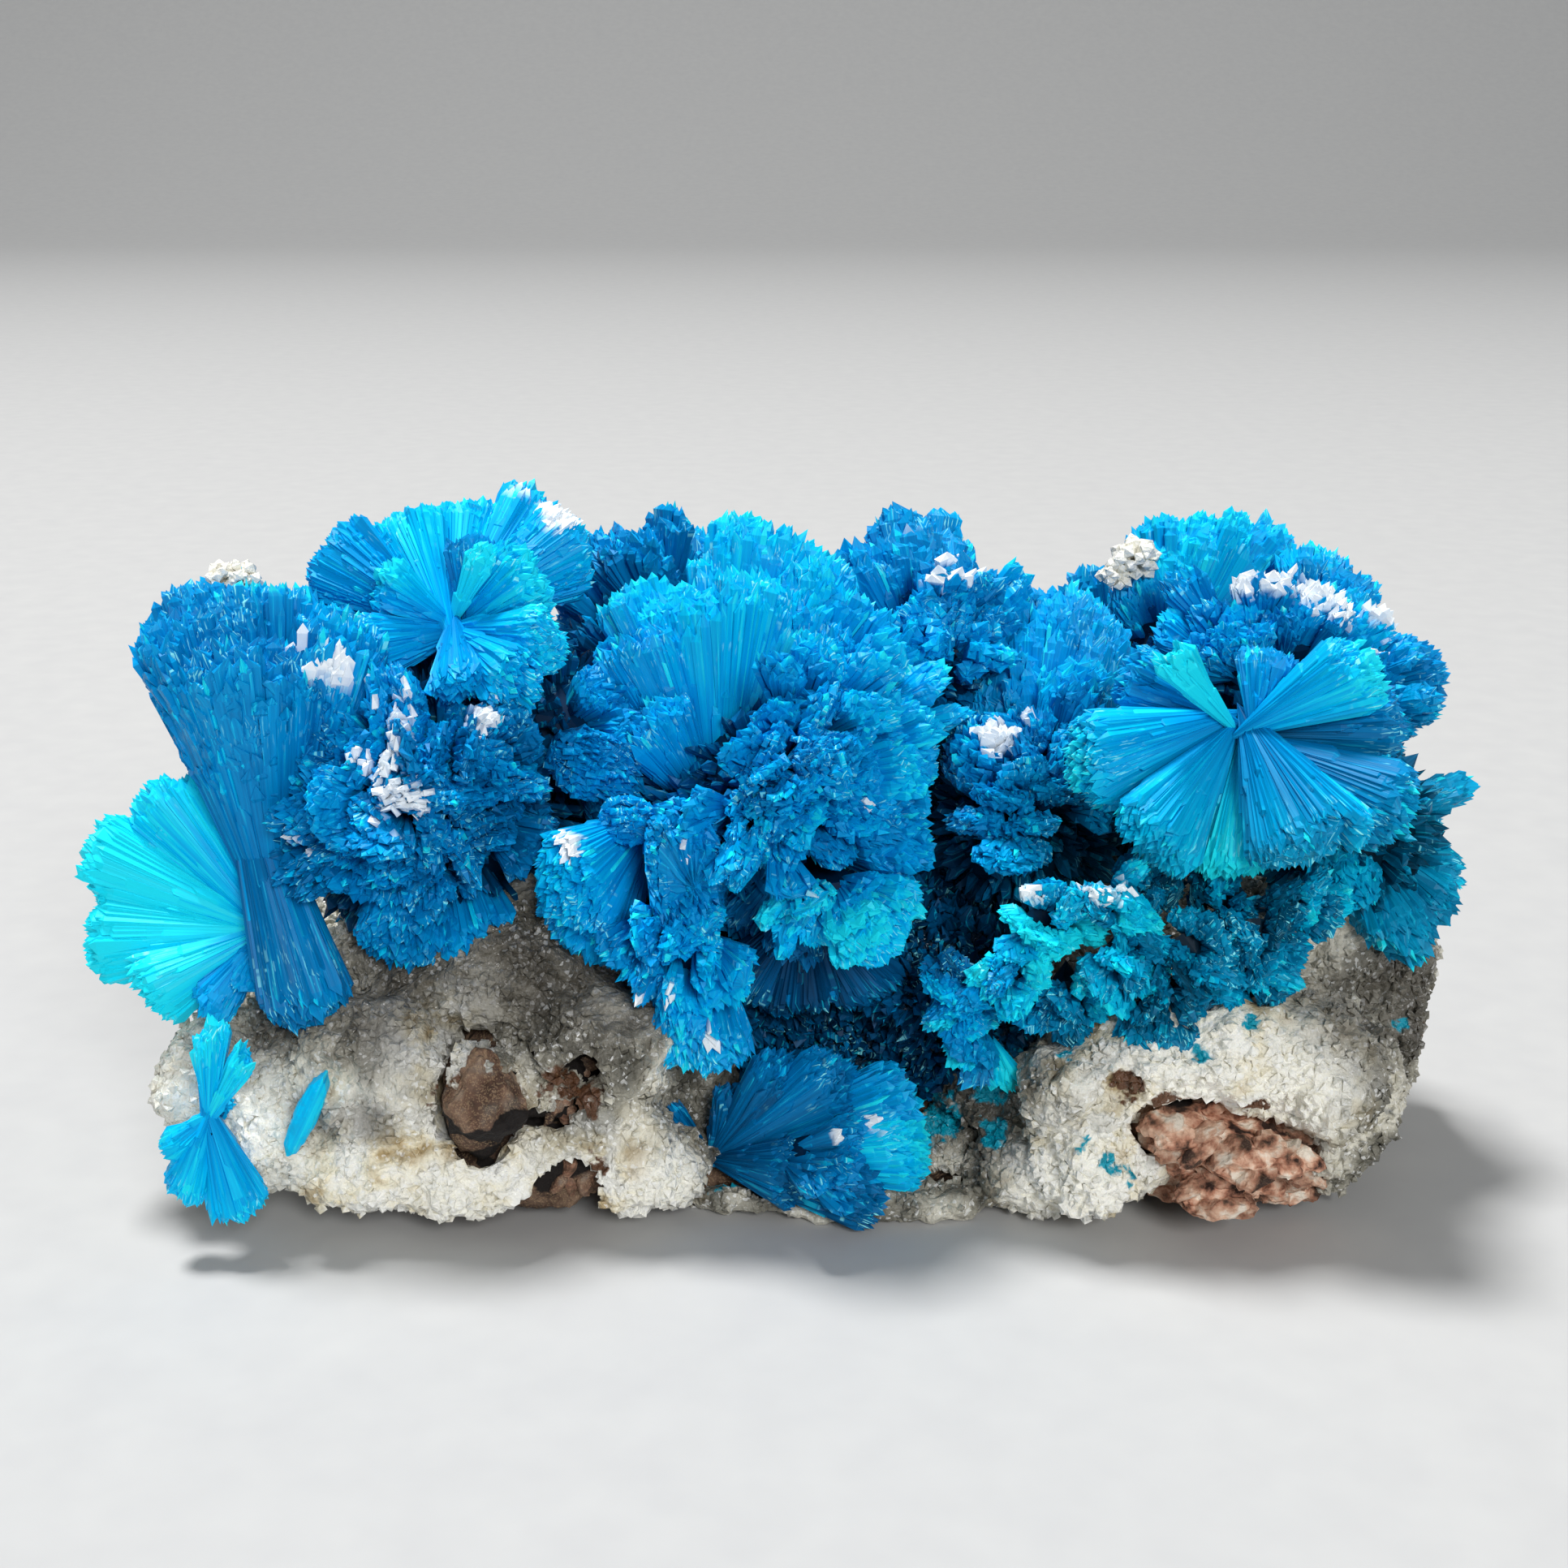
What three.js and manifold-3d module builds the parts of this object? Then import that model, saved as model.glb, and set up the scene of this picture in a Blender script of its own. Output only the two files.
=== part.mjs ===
// A cavansite specimen: blue sprays of bladed crystals crowded over a pale zeolite crust on brown basalt.
// Millimetres, +Z up. The show side faces -Y and the origin is on the floor under the middle.
import * as THREE from "three";
import { mergeVertices } from "three/addons/utils/BufferGeometryUtils.js";
import Module from "manifold-3d";

const wasm = await Module();
wasm.setup();

// Driving dimensions
const WIDTH = 74; // from the left fan's tip to the right spike
const DEPTH = 37; // from the front druse to the rear sprays
const HEIGHT = 37.5; // from the sawn bottom to the top rim
const GAP = 0.7; // how much a neighbour's lumps are grown before they are cut away
const BED_RISE = 18; // top of the crust's hump under the sprays
const SPRAY = 6; // length of a small spray in the druse
const RIM_JITTER = 0.06; // unevenness of a fan's rim, as a share of its length
const LUMP_JITTER = 0.1; // unevenness of a lump, as a share of its radii
const SHORTEST = 1; // edges shorter than this are drawn together in the joined crystals
const SHORTEST_IN_ROCK = 1.1; // the same for the joined lumps of the crust and the basalt
const SHORTEST_IN_SPRAY = 0.5; // the same for the two small sprays that grow by themselves
const FLATTEST_CORNER = 0.2; // least cosine between a face before and after its edge is drawn together
const WELD = 1e-4; // corners nearer than this are one corner
const FLAT_FAN = 15; // the greatest half-angle through of a flat fan, in degrees
const HEAD_ON = 0.35; // a fan that points this squarely at the viewer lies level
const AWAY = [0, 1, 0.3]; // the way that the show side looks away from, which fans lie square to
const ROOT_SET_BACK = 0.08; // how far a fan's root lies behind its heart, as a share of its length
const FEWEST_BLADES = 3; // teeth on the narrowest fan's rim
const CROWN = 1.02; // length of a fan in the middle of its cap
const DOME_SPREAD = 0.5; // how far out the bumps on a lobe's cap stand
const DOME_TURN = 0.25; // how far the bumps are turned from the teeth, in teeth
const LOBE = { toothAngle: 9, notchSpread: 0.95, notchLength: 0.95 }; // teeth of a lobe's rim
const FLAT = { toothAngle: 6, notchSpread: 0.86, notchLength: 0.9 }; // teeth of a flat fan's rim
const SPRAY_ROUNDNESS = 0.8; // a small spray's half-angle through, as a share of that across

// Materials: colour, roughness and metalness of each kind of mineral
const CAVANSITE = { color: 0x0a78c8, roughness: 0.35, metalness: 0 };
const ZEOLITE = { color: 0xb8aa90, roughness: 0.55, metalness: 0 };
const BASALT = { color: 0x4c3222, roughness: 0.95, metalness: 0 };

// Where the drawing of random numbers starts, and how far apart the fans and rosettes lie in it
const SEEDS = { cluster: 100, hollowSpray: 50000, leftSheaf: 60000, rosetteStep: 1000, fanStep: 17 };

// Numbers between 0 and 1 that are the same on every run.
function seeded(seed) {
  let state = seed;
  return () => {
    state = (state * 1664525 + 1013904223) % 4294967296;
    return state / 4294967296;
  };
}

function solidOf(geometry) {
  geometry.deleteAttribute("normal");
  geometry.deleteAttribute("uv");
  const merged = mergeVertices(geometry, WELD);
  return new wasm.Manifold(
    new wasm.Mesh({
      numProp: 3,
      vertProperties: merged.attributes.position.array,
      triVerts: new Uint32Array(merged.index.array),
    }),
  );
}

function geometryOf(solid) {
  const mesh = solid.getMesh();
  const geometry = new THREE.BufferGeometry();
  geometry.setAttribute("position", new THREE.BufferAttribute(mesh.vertProperties, 3));
  geometry.setIndex(new THREE.BufferAttribute(mesh.triVerts, 1));
  geometry.computeVertexNormals();
  return geometry;
}

function join(solids) {
  return solids.reduce((all, one) => all.add(one));
}

// The biggest body of a solid, without the crumbs that a cut leaves.
function mainBody(solid) {
  return solid.decompose().reduce((best, one) => (one.volume() > best.volume() ? one : best));
}

// Draws together the ends of every edge shorter than limit, where the surface stays closed and no
// face turns over: the slivers that the joins leave go, and the forms stay.
function withoutShortEdges(solid, limit) {
  const mesh = solid.getMesh();
  const points = [];
  for (let i = 0; i < mesh.vertProperties.length; i += 3) {
    points.push(new THREE.Vector3().fromArray(mesh.vertProperties, i));
  }
  let faces = [];
  for (let i = 0; i < mesh.triVerts.length; i += 3) {
    faces.push(Array.from(mesh.triVerts.slice(i, i + 3)));
  }
  const between = (a, b) => new THREE.Vector3().subVectors(b, a);
  const normal = (a, b, c) => between(a, b).cross(between(a, c));
  let drawn = 1;
  while (drawn > 0) {
    drawn = 0;
    const around = points.map(() => []);
    faces.forEach((face) => face.forEach((corner) => around[corner].push(face)));
    const neighbours = (v) => new Set(around[v].flat().filter((other) => other !== v));
    const short = [];
    faces.forEach((face) =>
      face.forEach((a, k) => {
        const b = face[(k + 1) % 3];
        const length = points[a].distanceTo(points[b]);
        if (a < b && length < limit) {
          short.push([length, a, b]);
        }
      }),
    );
    short.sort((one, other) => one[0] - other[0]);
    const touched = new Set();
    const gone = new Set();
    for (const [, a, b] of short) {
      const nearA = neighbours(a);
      const nearB = neighbours(b);
      const ring = [...nearA, ...nearB];
      const shared = [...nearA].filter((v) => nearB.has(v));
      if (shared.length !== 2 || ring.some((v) => touched.has(v))) {
        continue;
      }
      const middle = points[a].clone().add(points[b]).multiplyScalar(0.5);
      const kept = [...around[a], ...around[b]].filter((face) => !(face.includes(a) && face.includes(b)));
      const turns = kept.some((face) => {
        const before = normal(...face.map((v) => points[v]));
        const after = normal(...face.map((v) => (v === a || v === b ? middle : points[v])));
        return before.dot(after) <= FLATTEST_CORNER * before.length() * after.length();
      });
      if (turns) {
        continue;
      }
      around[a].filter((face) => face.includes(b)).forEach((face) => gone.add(face));
      points[a] = middle;
      around[b].forEach((face) => face.splice(face.indexOf(b), 1, a));
      ring.forEach((v) => touched.add(v));
      drawn += 1;
    }
    faces = faces.filter((face) => !gone.has(face));
  }
  return new wasm.Manifold(
    new wasm.Mesh({
      numProp: 3,
      vertProperties: new Float32Array(points.flatMap((p) => p.toArray())),
      triVerts: new Uint32Array(faces.flat()),
    }),
  );
}

// Everything above the floor, as one block much larger than the specimen.
function aboveFloor() {
  const block = new THREE.BoxGeometry(2 * WIDTH, 2 * DEPTH, 2 * HEIGHT);
  block.translate(0, 0, HEIGHT);
  return solidOf(block);
}

// A rough rounded lump of mineral: a jittered icosahedron stretched to its three radii.
function lump([centre, radii, seed, detail = 1], grown = 0) {
  const random = seeded(seed);
  const geometry = new THREE.IcosahedronGeometry(1, detail);
  geometry.deleteAttribute("normal");
  geometry.deleteAttribute("uv");
  const ball = mergeVertices(geometry, WELD);
  const at = ball.attributes.position;
  for (let i = 0; i < at.count; i += 1) {
    const reach = 1 + LUMP_JITTER * (2 * random() - 1);
    at.setXYZ(
      i,
      centre[0] + at.getX(i) * reach * (radii[0] + grown),
      centre[1] + at.getY(i) * reach * (radii[1] + grown),
      centre[2] + at.getZ(i) * reach * (radii[2] + grown),
    );
  }
  return solidOf(ball);
}

// One fan of blades grown together: a flattened cone from its heart to a toothed cap. wide and thin
// are its half-angles in degrees. Its wide side lies across the view from the front unless across
// says otherwise. A lobe has a bumpy dome for a cap, and a flat fan has a plain ridge.
function fan(heart, [tip, wide, thin, across], seed) {
  const random = seeded(seed);
  const jitter = () => 1 + RIM_JITTER * (2 * random() - 1);
  const root = new THREE.Vector3(...heart);
  const axis = new THREE.Vector3(...tip).sub(root);
  const reach = axis.length();
  axis.normalize();
  const side = across ? new THREE.Vector3(...across) : new THREE.Vector3(...AWAY).cross(axis);
  if (side.length() < HEAD_ON) {
    side.set(1, 0, 0);
  }
  side.addScaledVector(axis, -side.dot(axis)).normalize();
  const front = new THREE.Vector3().crossVectors(axis, side);
  const points = [root.clone().addScaledVector(axis, -ROOT_SET_BACK * reach)];
  const place = (turn, spread, length) => {
    const x = wide * spread * Math.cos(turn);
    const y = thin * spread * Math.sin(turn);
    const tilt = THREE.MathUtils.degToRad(Math.hypot(x, y));
    const around = Math.atan2(y, x);
    const way = axis.clone().multiplyScalar(Math.cos(tilt));
    way.addScaledVector(side, Math.sin(tilt) * Math.cos(around));
    way.addScaledVector(front, Math.sin(tilt) * Math.sin(around));
    points.push(root.clone().addScaledVector(way, reach * length));
  };
  const lobe = thin > FLAT_FAN;
  const { toothAngle, notchSpread, notchLength } = lobe ? LOBE : FLAT;
  const blades = Math.round(FEWEST_BLADES + wide / toothAngle);
  const rim = 2 * blades;
  const spread = [1, notchSpread];
  const length = [1, notchLength];
  for (let k = 0; k < rim; k += 1) {
    place((k * 2 * Math.PI) / rim, spread[k % 2] * jitter(), length[k % 2] * jitter());
  }
  for (let k = 0; lobe && k < blades; k += 1) {
    place(((k + DOME_TURN) * 2 * Math.PI) / blades, DOME_SPREAD, jitter());
  }
  place(0, 0, CROWN);

  const faces = [];
  const middle = 1 + rim;
  const centre = points.length - 1;
  for (let k = 0; k < rim; k += 1) {
    const here = 1 + k;
    const next = 1 + ((k + 1) % rim);
    const inner = lobe ? middle + Math.floor(k / 2) : centre;
    faces.push(0, next, here, here, next, inner);
  }
  for (let k = 0; lobe && k < blades; k += 1) {
    const inner = middle + k;
    const following = middle + ((k + 1) % blades);
    const tooth = 1 + ((2 * k + 2) % rim);
    faces.push(inner, tooth, following, inner, following, centre);
  }
  return new wasm.Manifold(
    new wasm.Mesh({
      numProp: 3,
      vertProperties: new Float32Array(points.flatMap((p) => p.toArray())),
      triVerts: new Uint32Array(faces),
    }),
  );
}

// A rosette: fans that spread from one heart, and the knot of crystal where they meet.
function rosette({ heart, knot, fans }, seed) {
  const parts = fans.map((one, k) => fan(heart, one, seed + SEEDS.fanStep * k));
  if (knot) {
    parts.push(lump([heart, [knot, knot, knot], seed, 0]));
  }
  return join(parts);
}

// A little spray in the druse: one blunt fan that leans out of the bed behind its tip.
function spray([tip, wide, lean]) {
  const heart = [tip[0] - lean[0] * SPRAY, tip[1] - lean[1] * SPRAY, tip[2] - lean[2] * SPRAY];
  return { heart, fans: [[tip, wide, SPRAY_ROUNDNESS * wide]] };
}

// The rosettes, named by where they stand as seen from the front. Each fan is
// [tip of its cap, half-angle across, half-angle through, direction across].

const LEFT_SHOULDER = {
  heart: [-26, -10.5, 15.5],
  fans: [
    [[-28.5, -8, 33.6], 13, 12],
    [[-26.5, -11.5, 33.2], 18, 14],
    [[-23.5, -9, 32.5], 15, 13],
    [[-29.5, -6, 30], 14, 14],
    [[-25, -4, 32], 18, 16],
    [[-23.8, -14, 10.8], 18, 11],
  ],
};

const LEFT_FAN = {
  heart: [-26.5, -11, 15.5],
  fans: [
    [[-33, -8, 23], 20, 11],
    [[-36.5, -9, 19], 16, 10],
    [[-36.5, -10, 15], 17, 11],
    [[-33, -12.5, 12.2], 18, 12],
    [[-29.8, -13.5, 11.4], 14, 11],
    [[-27.5, -13.6, 12.8], 13, 9],
  ],
};

const TOP_LEFT = {
  heart: [-17, -7, 30.5],
  fans: [
    [[-24, -3, 34], 18, 11],
    [[-20.5, -1, 36], 18, 11],
    [[-17, 0, 36.5], 17, 11],
    [[-13, 0, 36], 17, 11],
    [[-10, -1.5, 34], 18, 12],
    [[-20.5, -8, 33], 22, 12],
    [[-16.5, -7, 35.5], 16, 9],
    [[-14.5, -9, 35.5], 7, 6],
    [[-12, -9, 34], 24, 10],
    [[-10.5, -10, 30.5], 18, 11],
    [[-12.5, -11.5, 28], 20, 12],
    [[-16, -12, 27.5], 18, 12],
    [[-22, -9.5, 30], 20, 12],
  ],
};

const LEFT_DRUSE = {
  heart: [-18.5, -5, 21],
  knot: 7,
  fans: [
    [[-21, -13.5, 28.5], 20, 17],
    [[-17, -14.5, 27], 20, 17],
    [[-24.5, -13.5, 25], 20, 17],
    [[-25, -14.5, 21], 19, 17],
    [[-20.5, -16.5, 24], 19, 17],
    [[-17, -16.5, 22.5], 18, 16],
    [[-21.5, -15.5, 19.5], 18, 16],
    [[-13.5, -13.5, 25.5], 18, 16],
    [[-14, -14, 21.5], 18, 16],
    [[-17.5, -14.5, 18], 18, 16],
    [[-11.5, -11, 22.5], 18, 16],
    [[-19.5, -14, 14], 16, 11],
    [[-15, -12.5, 14], 13, 11],
  ],
};

const DARK_SADDLE = {
  heart: [-12, -4, 24],
  knot: 4,
  fans: [
    [[-7.5, -7.5, 28], 24, 14],
    [[-6.5, -8.5, 24.5], 20, 13],
    [[-9, -11.5, 24], 20, 14],
    [[-8, -8.5, 20.5], 22, 13],
  ],
};

const CENTRE_FAN = {
  heart: [-3.5, -7, 20],
  knot: 4,
  fans: [
    [[-4, -5, 34], 25, 14],
    [[-0.5, -2.5, 35.5], 14, 12],
    [[2, -5, 33], 19, 13],
    [[-8, -5.5, 32], 16, 13],
    [[-7.5, -8.5, 27], 18, 12],
  ],
};

const CABBAGE = {
  heart: [-1, -7, 22],
  knot: 4.5,
  fans: [
    [[4.5, -6, 32.5], 25, 18],
    [[7.5, -8, 29.5], 22, 16],
    [[8, -10, 26], 18, 14],
    [[7, -12, 23.5], 18, 14],
    [[3, -14.5, 30], 24, 18],
    [[1.5, -17, 26.5], 24, 20],
    [[4.5, -14.5, 22.5], 20, 16],
    [[-1.5, -17, 22], 24, 20],
  ],
};

const MIDDLE_LOBE = {
  heart: [-7, -8, 20.5],
  fans: [
    [[-11.5, -15, 18], 26, 14],
    [[-4, -16, 19], 34, 15],
    [[-8, -13, 22], 20, 14],
    [[-11, -13, 14.5], 24, 12],
  ],
};

const CYAN_SPRAY = {
  heart: [1, -7, 19],
  fans: [
    [[3.5, -17, 17], 32, 17],
    [[7, -13, 21], 18, 14],
    [[0, -10.5, 13], 18, 14],
    [[-3, -9, 14], 16, 12],
  ],
};

const HANGING_LOBE = {
  heart: [-5, -7.5, 17],
  fans: [
    [[-5, -17, 14], 26, 22],
    [[-4.5, -15, 9], 17, 14],
    [[-7.5, -15, 15.5], 20, 16],
  ],
};

const DARK_CURTAIN = {
  heart: [1, -10, 16.5],
  fans: [
    [[5.5, -9.6, 10.5], 20, 8],
    [[1, -9.8, 10], 22, 8],
    [[-3, -9.8, 10.8], 20, 8],
  ],
};

const PEAKS = {
  heart: [7.5, -1, 26.5],
  knot: 4,
  fans: [
    [[6, 1, 36.5], 17, 14],
    [[3.5, 0, 34.5], 18, 14],
    [[9, 2.5, 35], 16, 14],
    [[9.5, -4.5, 33.5], 20, 16],
    [[13, -0.5, 32.5], 16, 13],
    [[11, -6, 30], 22, 17],
    [[7.5, -7, 31], 18, 16],
  ],
};

const SADDLE = {
  heart: [13, -4, 19],
  knot: 4.5,
  fans: [
    [[13.5, -9, 27], 20, 16],
    [[9.5, -10, 26], 18, 14],
    [[15.5, -12, 24.5], 20, 16],
    [[11, -13.5, 22.5], 20, 16],
    [[15, 1, 31.5], 18, 14],
    [[11.5, -3, 29], 18, 14],
    [[17.5, 0, 31.5], 14, 12],
    [[17, -6, 28.5], 18, 14],
  ],
};

const REAR_RIGHT = {
  heart: [21.5, 3, 25.5],
  knot: 4,
  fans: [
    [[21.5, 5, 34.5], 20, 13],
    [[24.5, 5.5, 35], 20, 13],
    [[28, 6.5, 34], 15, 12],
    [[18.5, 3, 32], 16, 12],
  ],
};

const RIGHT_CAP = {
  heart: [27, -1, 24],
  knot: 5,
  fans: [
    [[21.5, -5, 31.5], 26, 20],
    [[26.5, -4, 32], 28, 20],
    [[31.5, -2, 31], 28, 20],
    [[34.5, -3, 28], 20, 16],
    [[31, 3, 32], 20, 16],
    [[34.5, -5, 25], 22, 18],
  ],
};

const RIGHT_ROSETTE = {
  heart: [22.5, -12, 26.5],
  fans: [
    [[18, -15.5, 31.5], 7, 6],
    [[16.5, -11, 28.5], 22, 12],
    [[14.5, -13.5, 24.5], 26, 12],
    [[17.5, -16, 21], 22, 12],
    [[21.5, -14.5, 19], 13, 10],
    [[25.5, -17, 20.5], 26, 14],
    [[30, -16, 23.5], 20, 12],
    [[31.5, -11.5, 26.5], 22, 12],
    [[28.5, -13.5, 30.5], 22, 12],
    [[23.5, -10.5, 31], 22, 12],
  ],
};

const RIGHT_EDGE = {
  heart: [29.5, -6, 19.5],
  knot: 4.5,
  fans: [
    [[36.5, -6, 22], 9, 9],
    [[36, -5, 19], 18, 14],
    [[35.5, -8, 16], 20, 16],
    [[32.5, -10, 13], 20, 14],
    [[29, -12.5, 16.5], 20, 14],
  ],
};

// Small sprays over the front of the right half, [tip, half-angle, lean].
const FRONT_BED = [
  [[8.5, -14.5, 11.5], 34, [-0.2, -0.8, -0.1]],
  [[10.5, -16, 14.5], 34, [-0.2, -0.9, 0.1]],
  [[13, -16.5, 17.5], 34, [0, -0.9, 0.2]],
  [[16, -17, 19], 34, [0.1, -0.9, 0.3]],
  [[17, -17.5, 15.5], 36, [0, -1, 0]],
  [[20.5, -17.5, 16.5], 34, [0.1, -0.9, 0.2]],
  [[24, -17, 17], 34, [0.2, -0.9, 0.2]],
  [[26.5, -15, 18.5], 32, [0.3, -0.8, 0.3]],
  [[14, -16, 12.5], 34, [-0.1, -0.9, -0.2]],
  [[19, -17, 12.5], 34, [0, -0.9, -0.3]],
  [[23.5, -16.5, 13.5], 34, [0.1, -0.9, -0.2]],
  [[9.5, -13.5, 8], 24, [-0.2, -0.6, -0.7]],
  [[7.8, -13.8, 12.8], 26, [-0.4, -0.7, -0.2]],
  [[18.5, -14, 19.5], 30, [0, -0.8, 0.5]],
  [[22.5, -14, 19], 30, [0.1, -0.8, 0.5]],
];

// The rosettes of the back, hidden from the front, which finish the specimen all round.
const REAR_LEFT_ROSETTE = {
  heart: [-21, 5, 21],
  knot: 5.5,
  fans: [
    [[-27, 11, 27.5], 26, 20, [1, 1, 0]],
    [[-19.5, 14, 26], 28, 22],
    [[-30, 7, 22], 24, 20],
    [[-26, 13.5, 19], 26, 20],
    [[-20, 16, 19], 28, 22],
    [[-25.5, 3, 30], 24, 20],
  ],
};

const REAR_MIDDLE_ROSETTE = {
  heart: [-7, 6, 23],
  knot: 6,
  fans: [
    [[-12, 11.5, 31], 26, 20],
    [[-4.5, 13, 30], 28, 20],
    [[-9, 16.5, 23.5], 28, 22],
    [[-2, 15.5, 22], 24, 20],
    [[-7, 6, 33], 24, 20],
    [[-14.5, 14, 23], 22, 20],
  ],
};

const REAR_PEAK_ROSETTE = {
  heart: [7, 6, 22],
  knot: 5.5,
  fans: [
    [[3.5, 9, 31], 24, 18],
    [[10, 12, 29], 26, 20],
    [[5, 16.5, 22], 28, 22],
    [[12, 15, 21], 26, 20],
    [[1, 13, 27], 22, 18],
  ],
};

const REAR_RIGHT_ROSETTE = {
  heart: [21, 5, 20],
  knot: 6,
  fans: [
    [[16, 13, 27], 26, 20],
    [[24, 12, 27.5], 28, 20],
    [[20, 16.5, 20], 28, 22],
    [[28, 12, 21], 26, 20],
    [[31, 6, 24], 24, 18],
    [[30.5, 9, 17], 22, 18],
  ],
};

// The spray that grows by itself in the recess at the bottom of the front.
const HOLLOW_SPRAY = {
  heart: [-3.8, -11.5, 2.8],
  knot: 1.5,
  fans: [
    [[-6.8, -11.5, 6], 14, 9],
    [[-2.2, -11.8, 7.5], 16, 9],
    [[1.2, -12.5, 9.3], 18, 9],
    [[4, -12.8, 8.6], 17, 10],
    [[7.3, -12.8, 6.5], 15, 9],
    [[8, -13.2, 4.6], 14, 10],
    [[4.9, -15.5, 5.2], 17, 16],
    [[5.5, -14.2, 2.4], 15, 10],
    [[1.5, -14.8, 3.4], 20, 11],
  ],
};

// The bow-tie sheaf that stands against the white balls at the left end.
const LEFT_SHEAF = {
  heart: [-28.6, -16.9, 7.8],
  knot: 1,
  fans: [
    [[-28.1, -16.7, 13.3], 9, 7],
    [[-26.1, -17, 11.9], 8, 7],
    [[-31.2, -17, 5.6], 16, 11],
    [[-30.6, -17, 2.7], 14, 11],
    [[-27.1, -17, 2.1], 15, 11],
  ],
};

// The lens-shaped crystal that stands on its own on the front ball.
const LENS = { centre: [-23.7, -17.1, 7.9], tilt: 26, length: 5, width: 1.3, depth: 1.2 };

// Lumps of the zeolite crust, [centre, radii, seed, detail].
const CRUST = [
  [[0, 3, BED_RISE / 2 - 2], [30, 13, BED_RISE / 2 + 2], 11],
  [[-17, -6, 6.5], [11, 9, 7], 12],
  [[-24, -8, 6.5], [6, 7, 6], 13],
  [[-9, -9, 5.5], [5.5, 6.5, 6], 14],
  [[-15, -6, 12.5], [10, 8, 5], 15],
  [[-29.7, -11, 7.2], [2.9, 3.6, 3.4], 16],
  [[-26.7, -12.5, 5.9], [2.8, 3.8, 3.8], 17],
  [[-18, -13, 3.6], [8, 4, 2.8], 18],
  [[-9.5, -12, 10], [5, 4.5, 3.2], 19],
  [[-20.5, -12.5, 9], [5, 4.5, 4], 20],
  [[-7.5, -12.5, 3.5], [3.5, 3.5, 3], 21],
  [[20, -8, 6.5], [9, 8, 6.5], 22],
  [[27, -8, 6.5], [5.8, 7, 6.5], 23],
  [[16, -13, 8.5], [4, 4, 3.6], 24],
  [[21.5, -13.5, 10.5], [6.5, 4, 2.8], 25],
  [[27.5, -13, 8.5], [3.8, 4, 4], 26],
  [[15.5, -13, 3.8], [3, 4, 3.4], 27],
  [[27.5, -10.5, 4.5], [3.8, 4, 4], 28],
  [[31, -1.5, 8], [4.3, 7.5, 8], 29],
  [[29, -5, 13], [4, 4.5, 4], 30],
  [[34, -1, 10], [2.4, 4, 4], 31],
  [[3.5, -11, 0.5], [9.5, 2.8, 1.8], 39],
  [[13, -11, 2.6], [3.2, 3, 3], 33],
  [[11.5, -7.5, 6], [3.6, 4, 4], 34],
  [[-26, 8, 6], [7, 8, 6], 35],
  [[-10, 12, 6], [10, 6, 6], 36],
  [[8, 12.5, 5.5], [9, 5.6, 5.6], 37],
  [[24, 9, 6.5], [9, 8, 6.6], 38],
];

// Chunks of the basalt, [centre, radii, seed, detail]: the slab, the knob in the left
// hollow and the broken rubble in the right one.
const ROCK = [
  [[2, 0, 1.5], [28, 11.5, 3.6], 51],
  [[-15, -7, 3], [11, 7.6, 3.4], 52],
  [[23, -7, 3], [8, 7.4, 3], 53],
  [[-13, -9, 8], [5, 5.8, 3.4], 54],
  [[-15.5, -14.2, 7.7], [1.9, 2.6, 3.2], 55],
  [[22, -10, 5.4], [6, 6, 2.6], 56],
  [[19.9, -15.6, 6.6], [1.9, 1.6, 1.2], 57],
  [[22.8, -15.9, 5.6], [2.1, 1.6, 1.3], 58],
  [[25.6, -15.5, 4.7], [1.9, 1.6, 1.2], 59],
  [[21.8, -15.4, 3.1], [2.2, 1.6, 1.2], 63],
];

// Pits and recesses cut into the crust, [centre, radii, seed].
const HOLLOWS = [
  [[-11.8, -16, 7.3], [2, 3.4, 1.5], 71],
  [[-9.8, -15.6, 9.3], [1.4, 3, 1.4], 76],
  [[-15.4, -16.6, 8], [2.5, 3, 3.5], 72],
  [[23, -17.4, 4.9], [5, 3.6, 2.8], 73],
  [[17, -17, 9.2], [2.2, 1.6, 0.9], 74],
  [[1.5, -13.5, 8], [8.4, 8, 7], 75],
];

function crustSolid() {
  const lumps = withoutShortEdges(join(CRUST.map((one) => lump(one))), SHORTEST_IN_ROCK);
  return lumps.subtract(join(HOLLOWS.map((one) => lump(one)))).intersect(aboveFloor());
}

function rockSolid() {
  return withoutShortEdges(join(ROCK.map((one) => lump(one))), SHORTEST_IN_ROCK).intersect(aboveFloor());
}

// The room that the rock and the crust take up, with the gap round them, for cutting what grows on them.
const rockRoom = join(ROCK.map((one) => lump(one, GAP)));
const hollowRoom = join(HOLLOWS.map((one) => lump(one, -GAP)));
const matrixRoom = join(CRUST.map((one) => lump(one, GAP))).subtract(hollowRoom).add(rockRoom);

function clusterSolid() {
  const rosettes = [
    LEFT_SHOULDER,
    LEFT_FAN,
    TOP_LEFT,
    LEFT_DRUSE,
    DARK_SADDLE,
    CENTRE_FAN,
    CABBAGE,
    MIDDLE_LOBE,
    CYAN_SPRAY,
    HANGING_LOBE,
    DARK_CURTAIN,
    PEAKS,
    SADDLE,
    REAR_RIGHT,
    RIGHT_CAP,
    RIGHT_ROSETTE,
    RIGHT_EDGE,
    REAR_LEFT_ROSETTE,
    REAR_MIDDLE_ROSETTE,
    REAR_PEAK_ROSETTE,
    REAR_RIGHT_ROSETTE,
    ...FRONT_BED.map(spray),
  ];
  const grown = rosettes.map((one, k) => rosette(one, SEEDS.cluster + SEEDS.rosetteStep * k));
  return withoutShortEdges(join(grown), SHORTEST);
}

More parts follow.
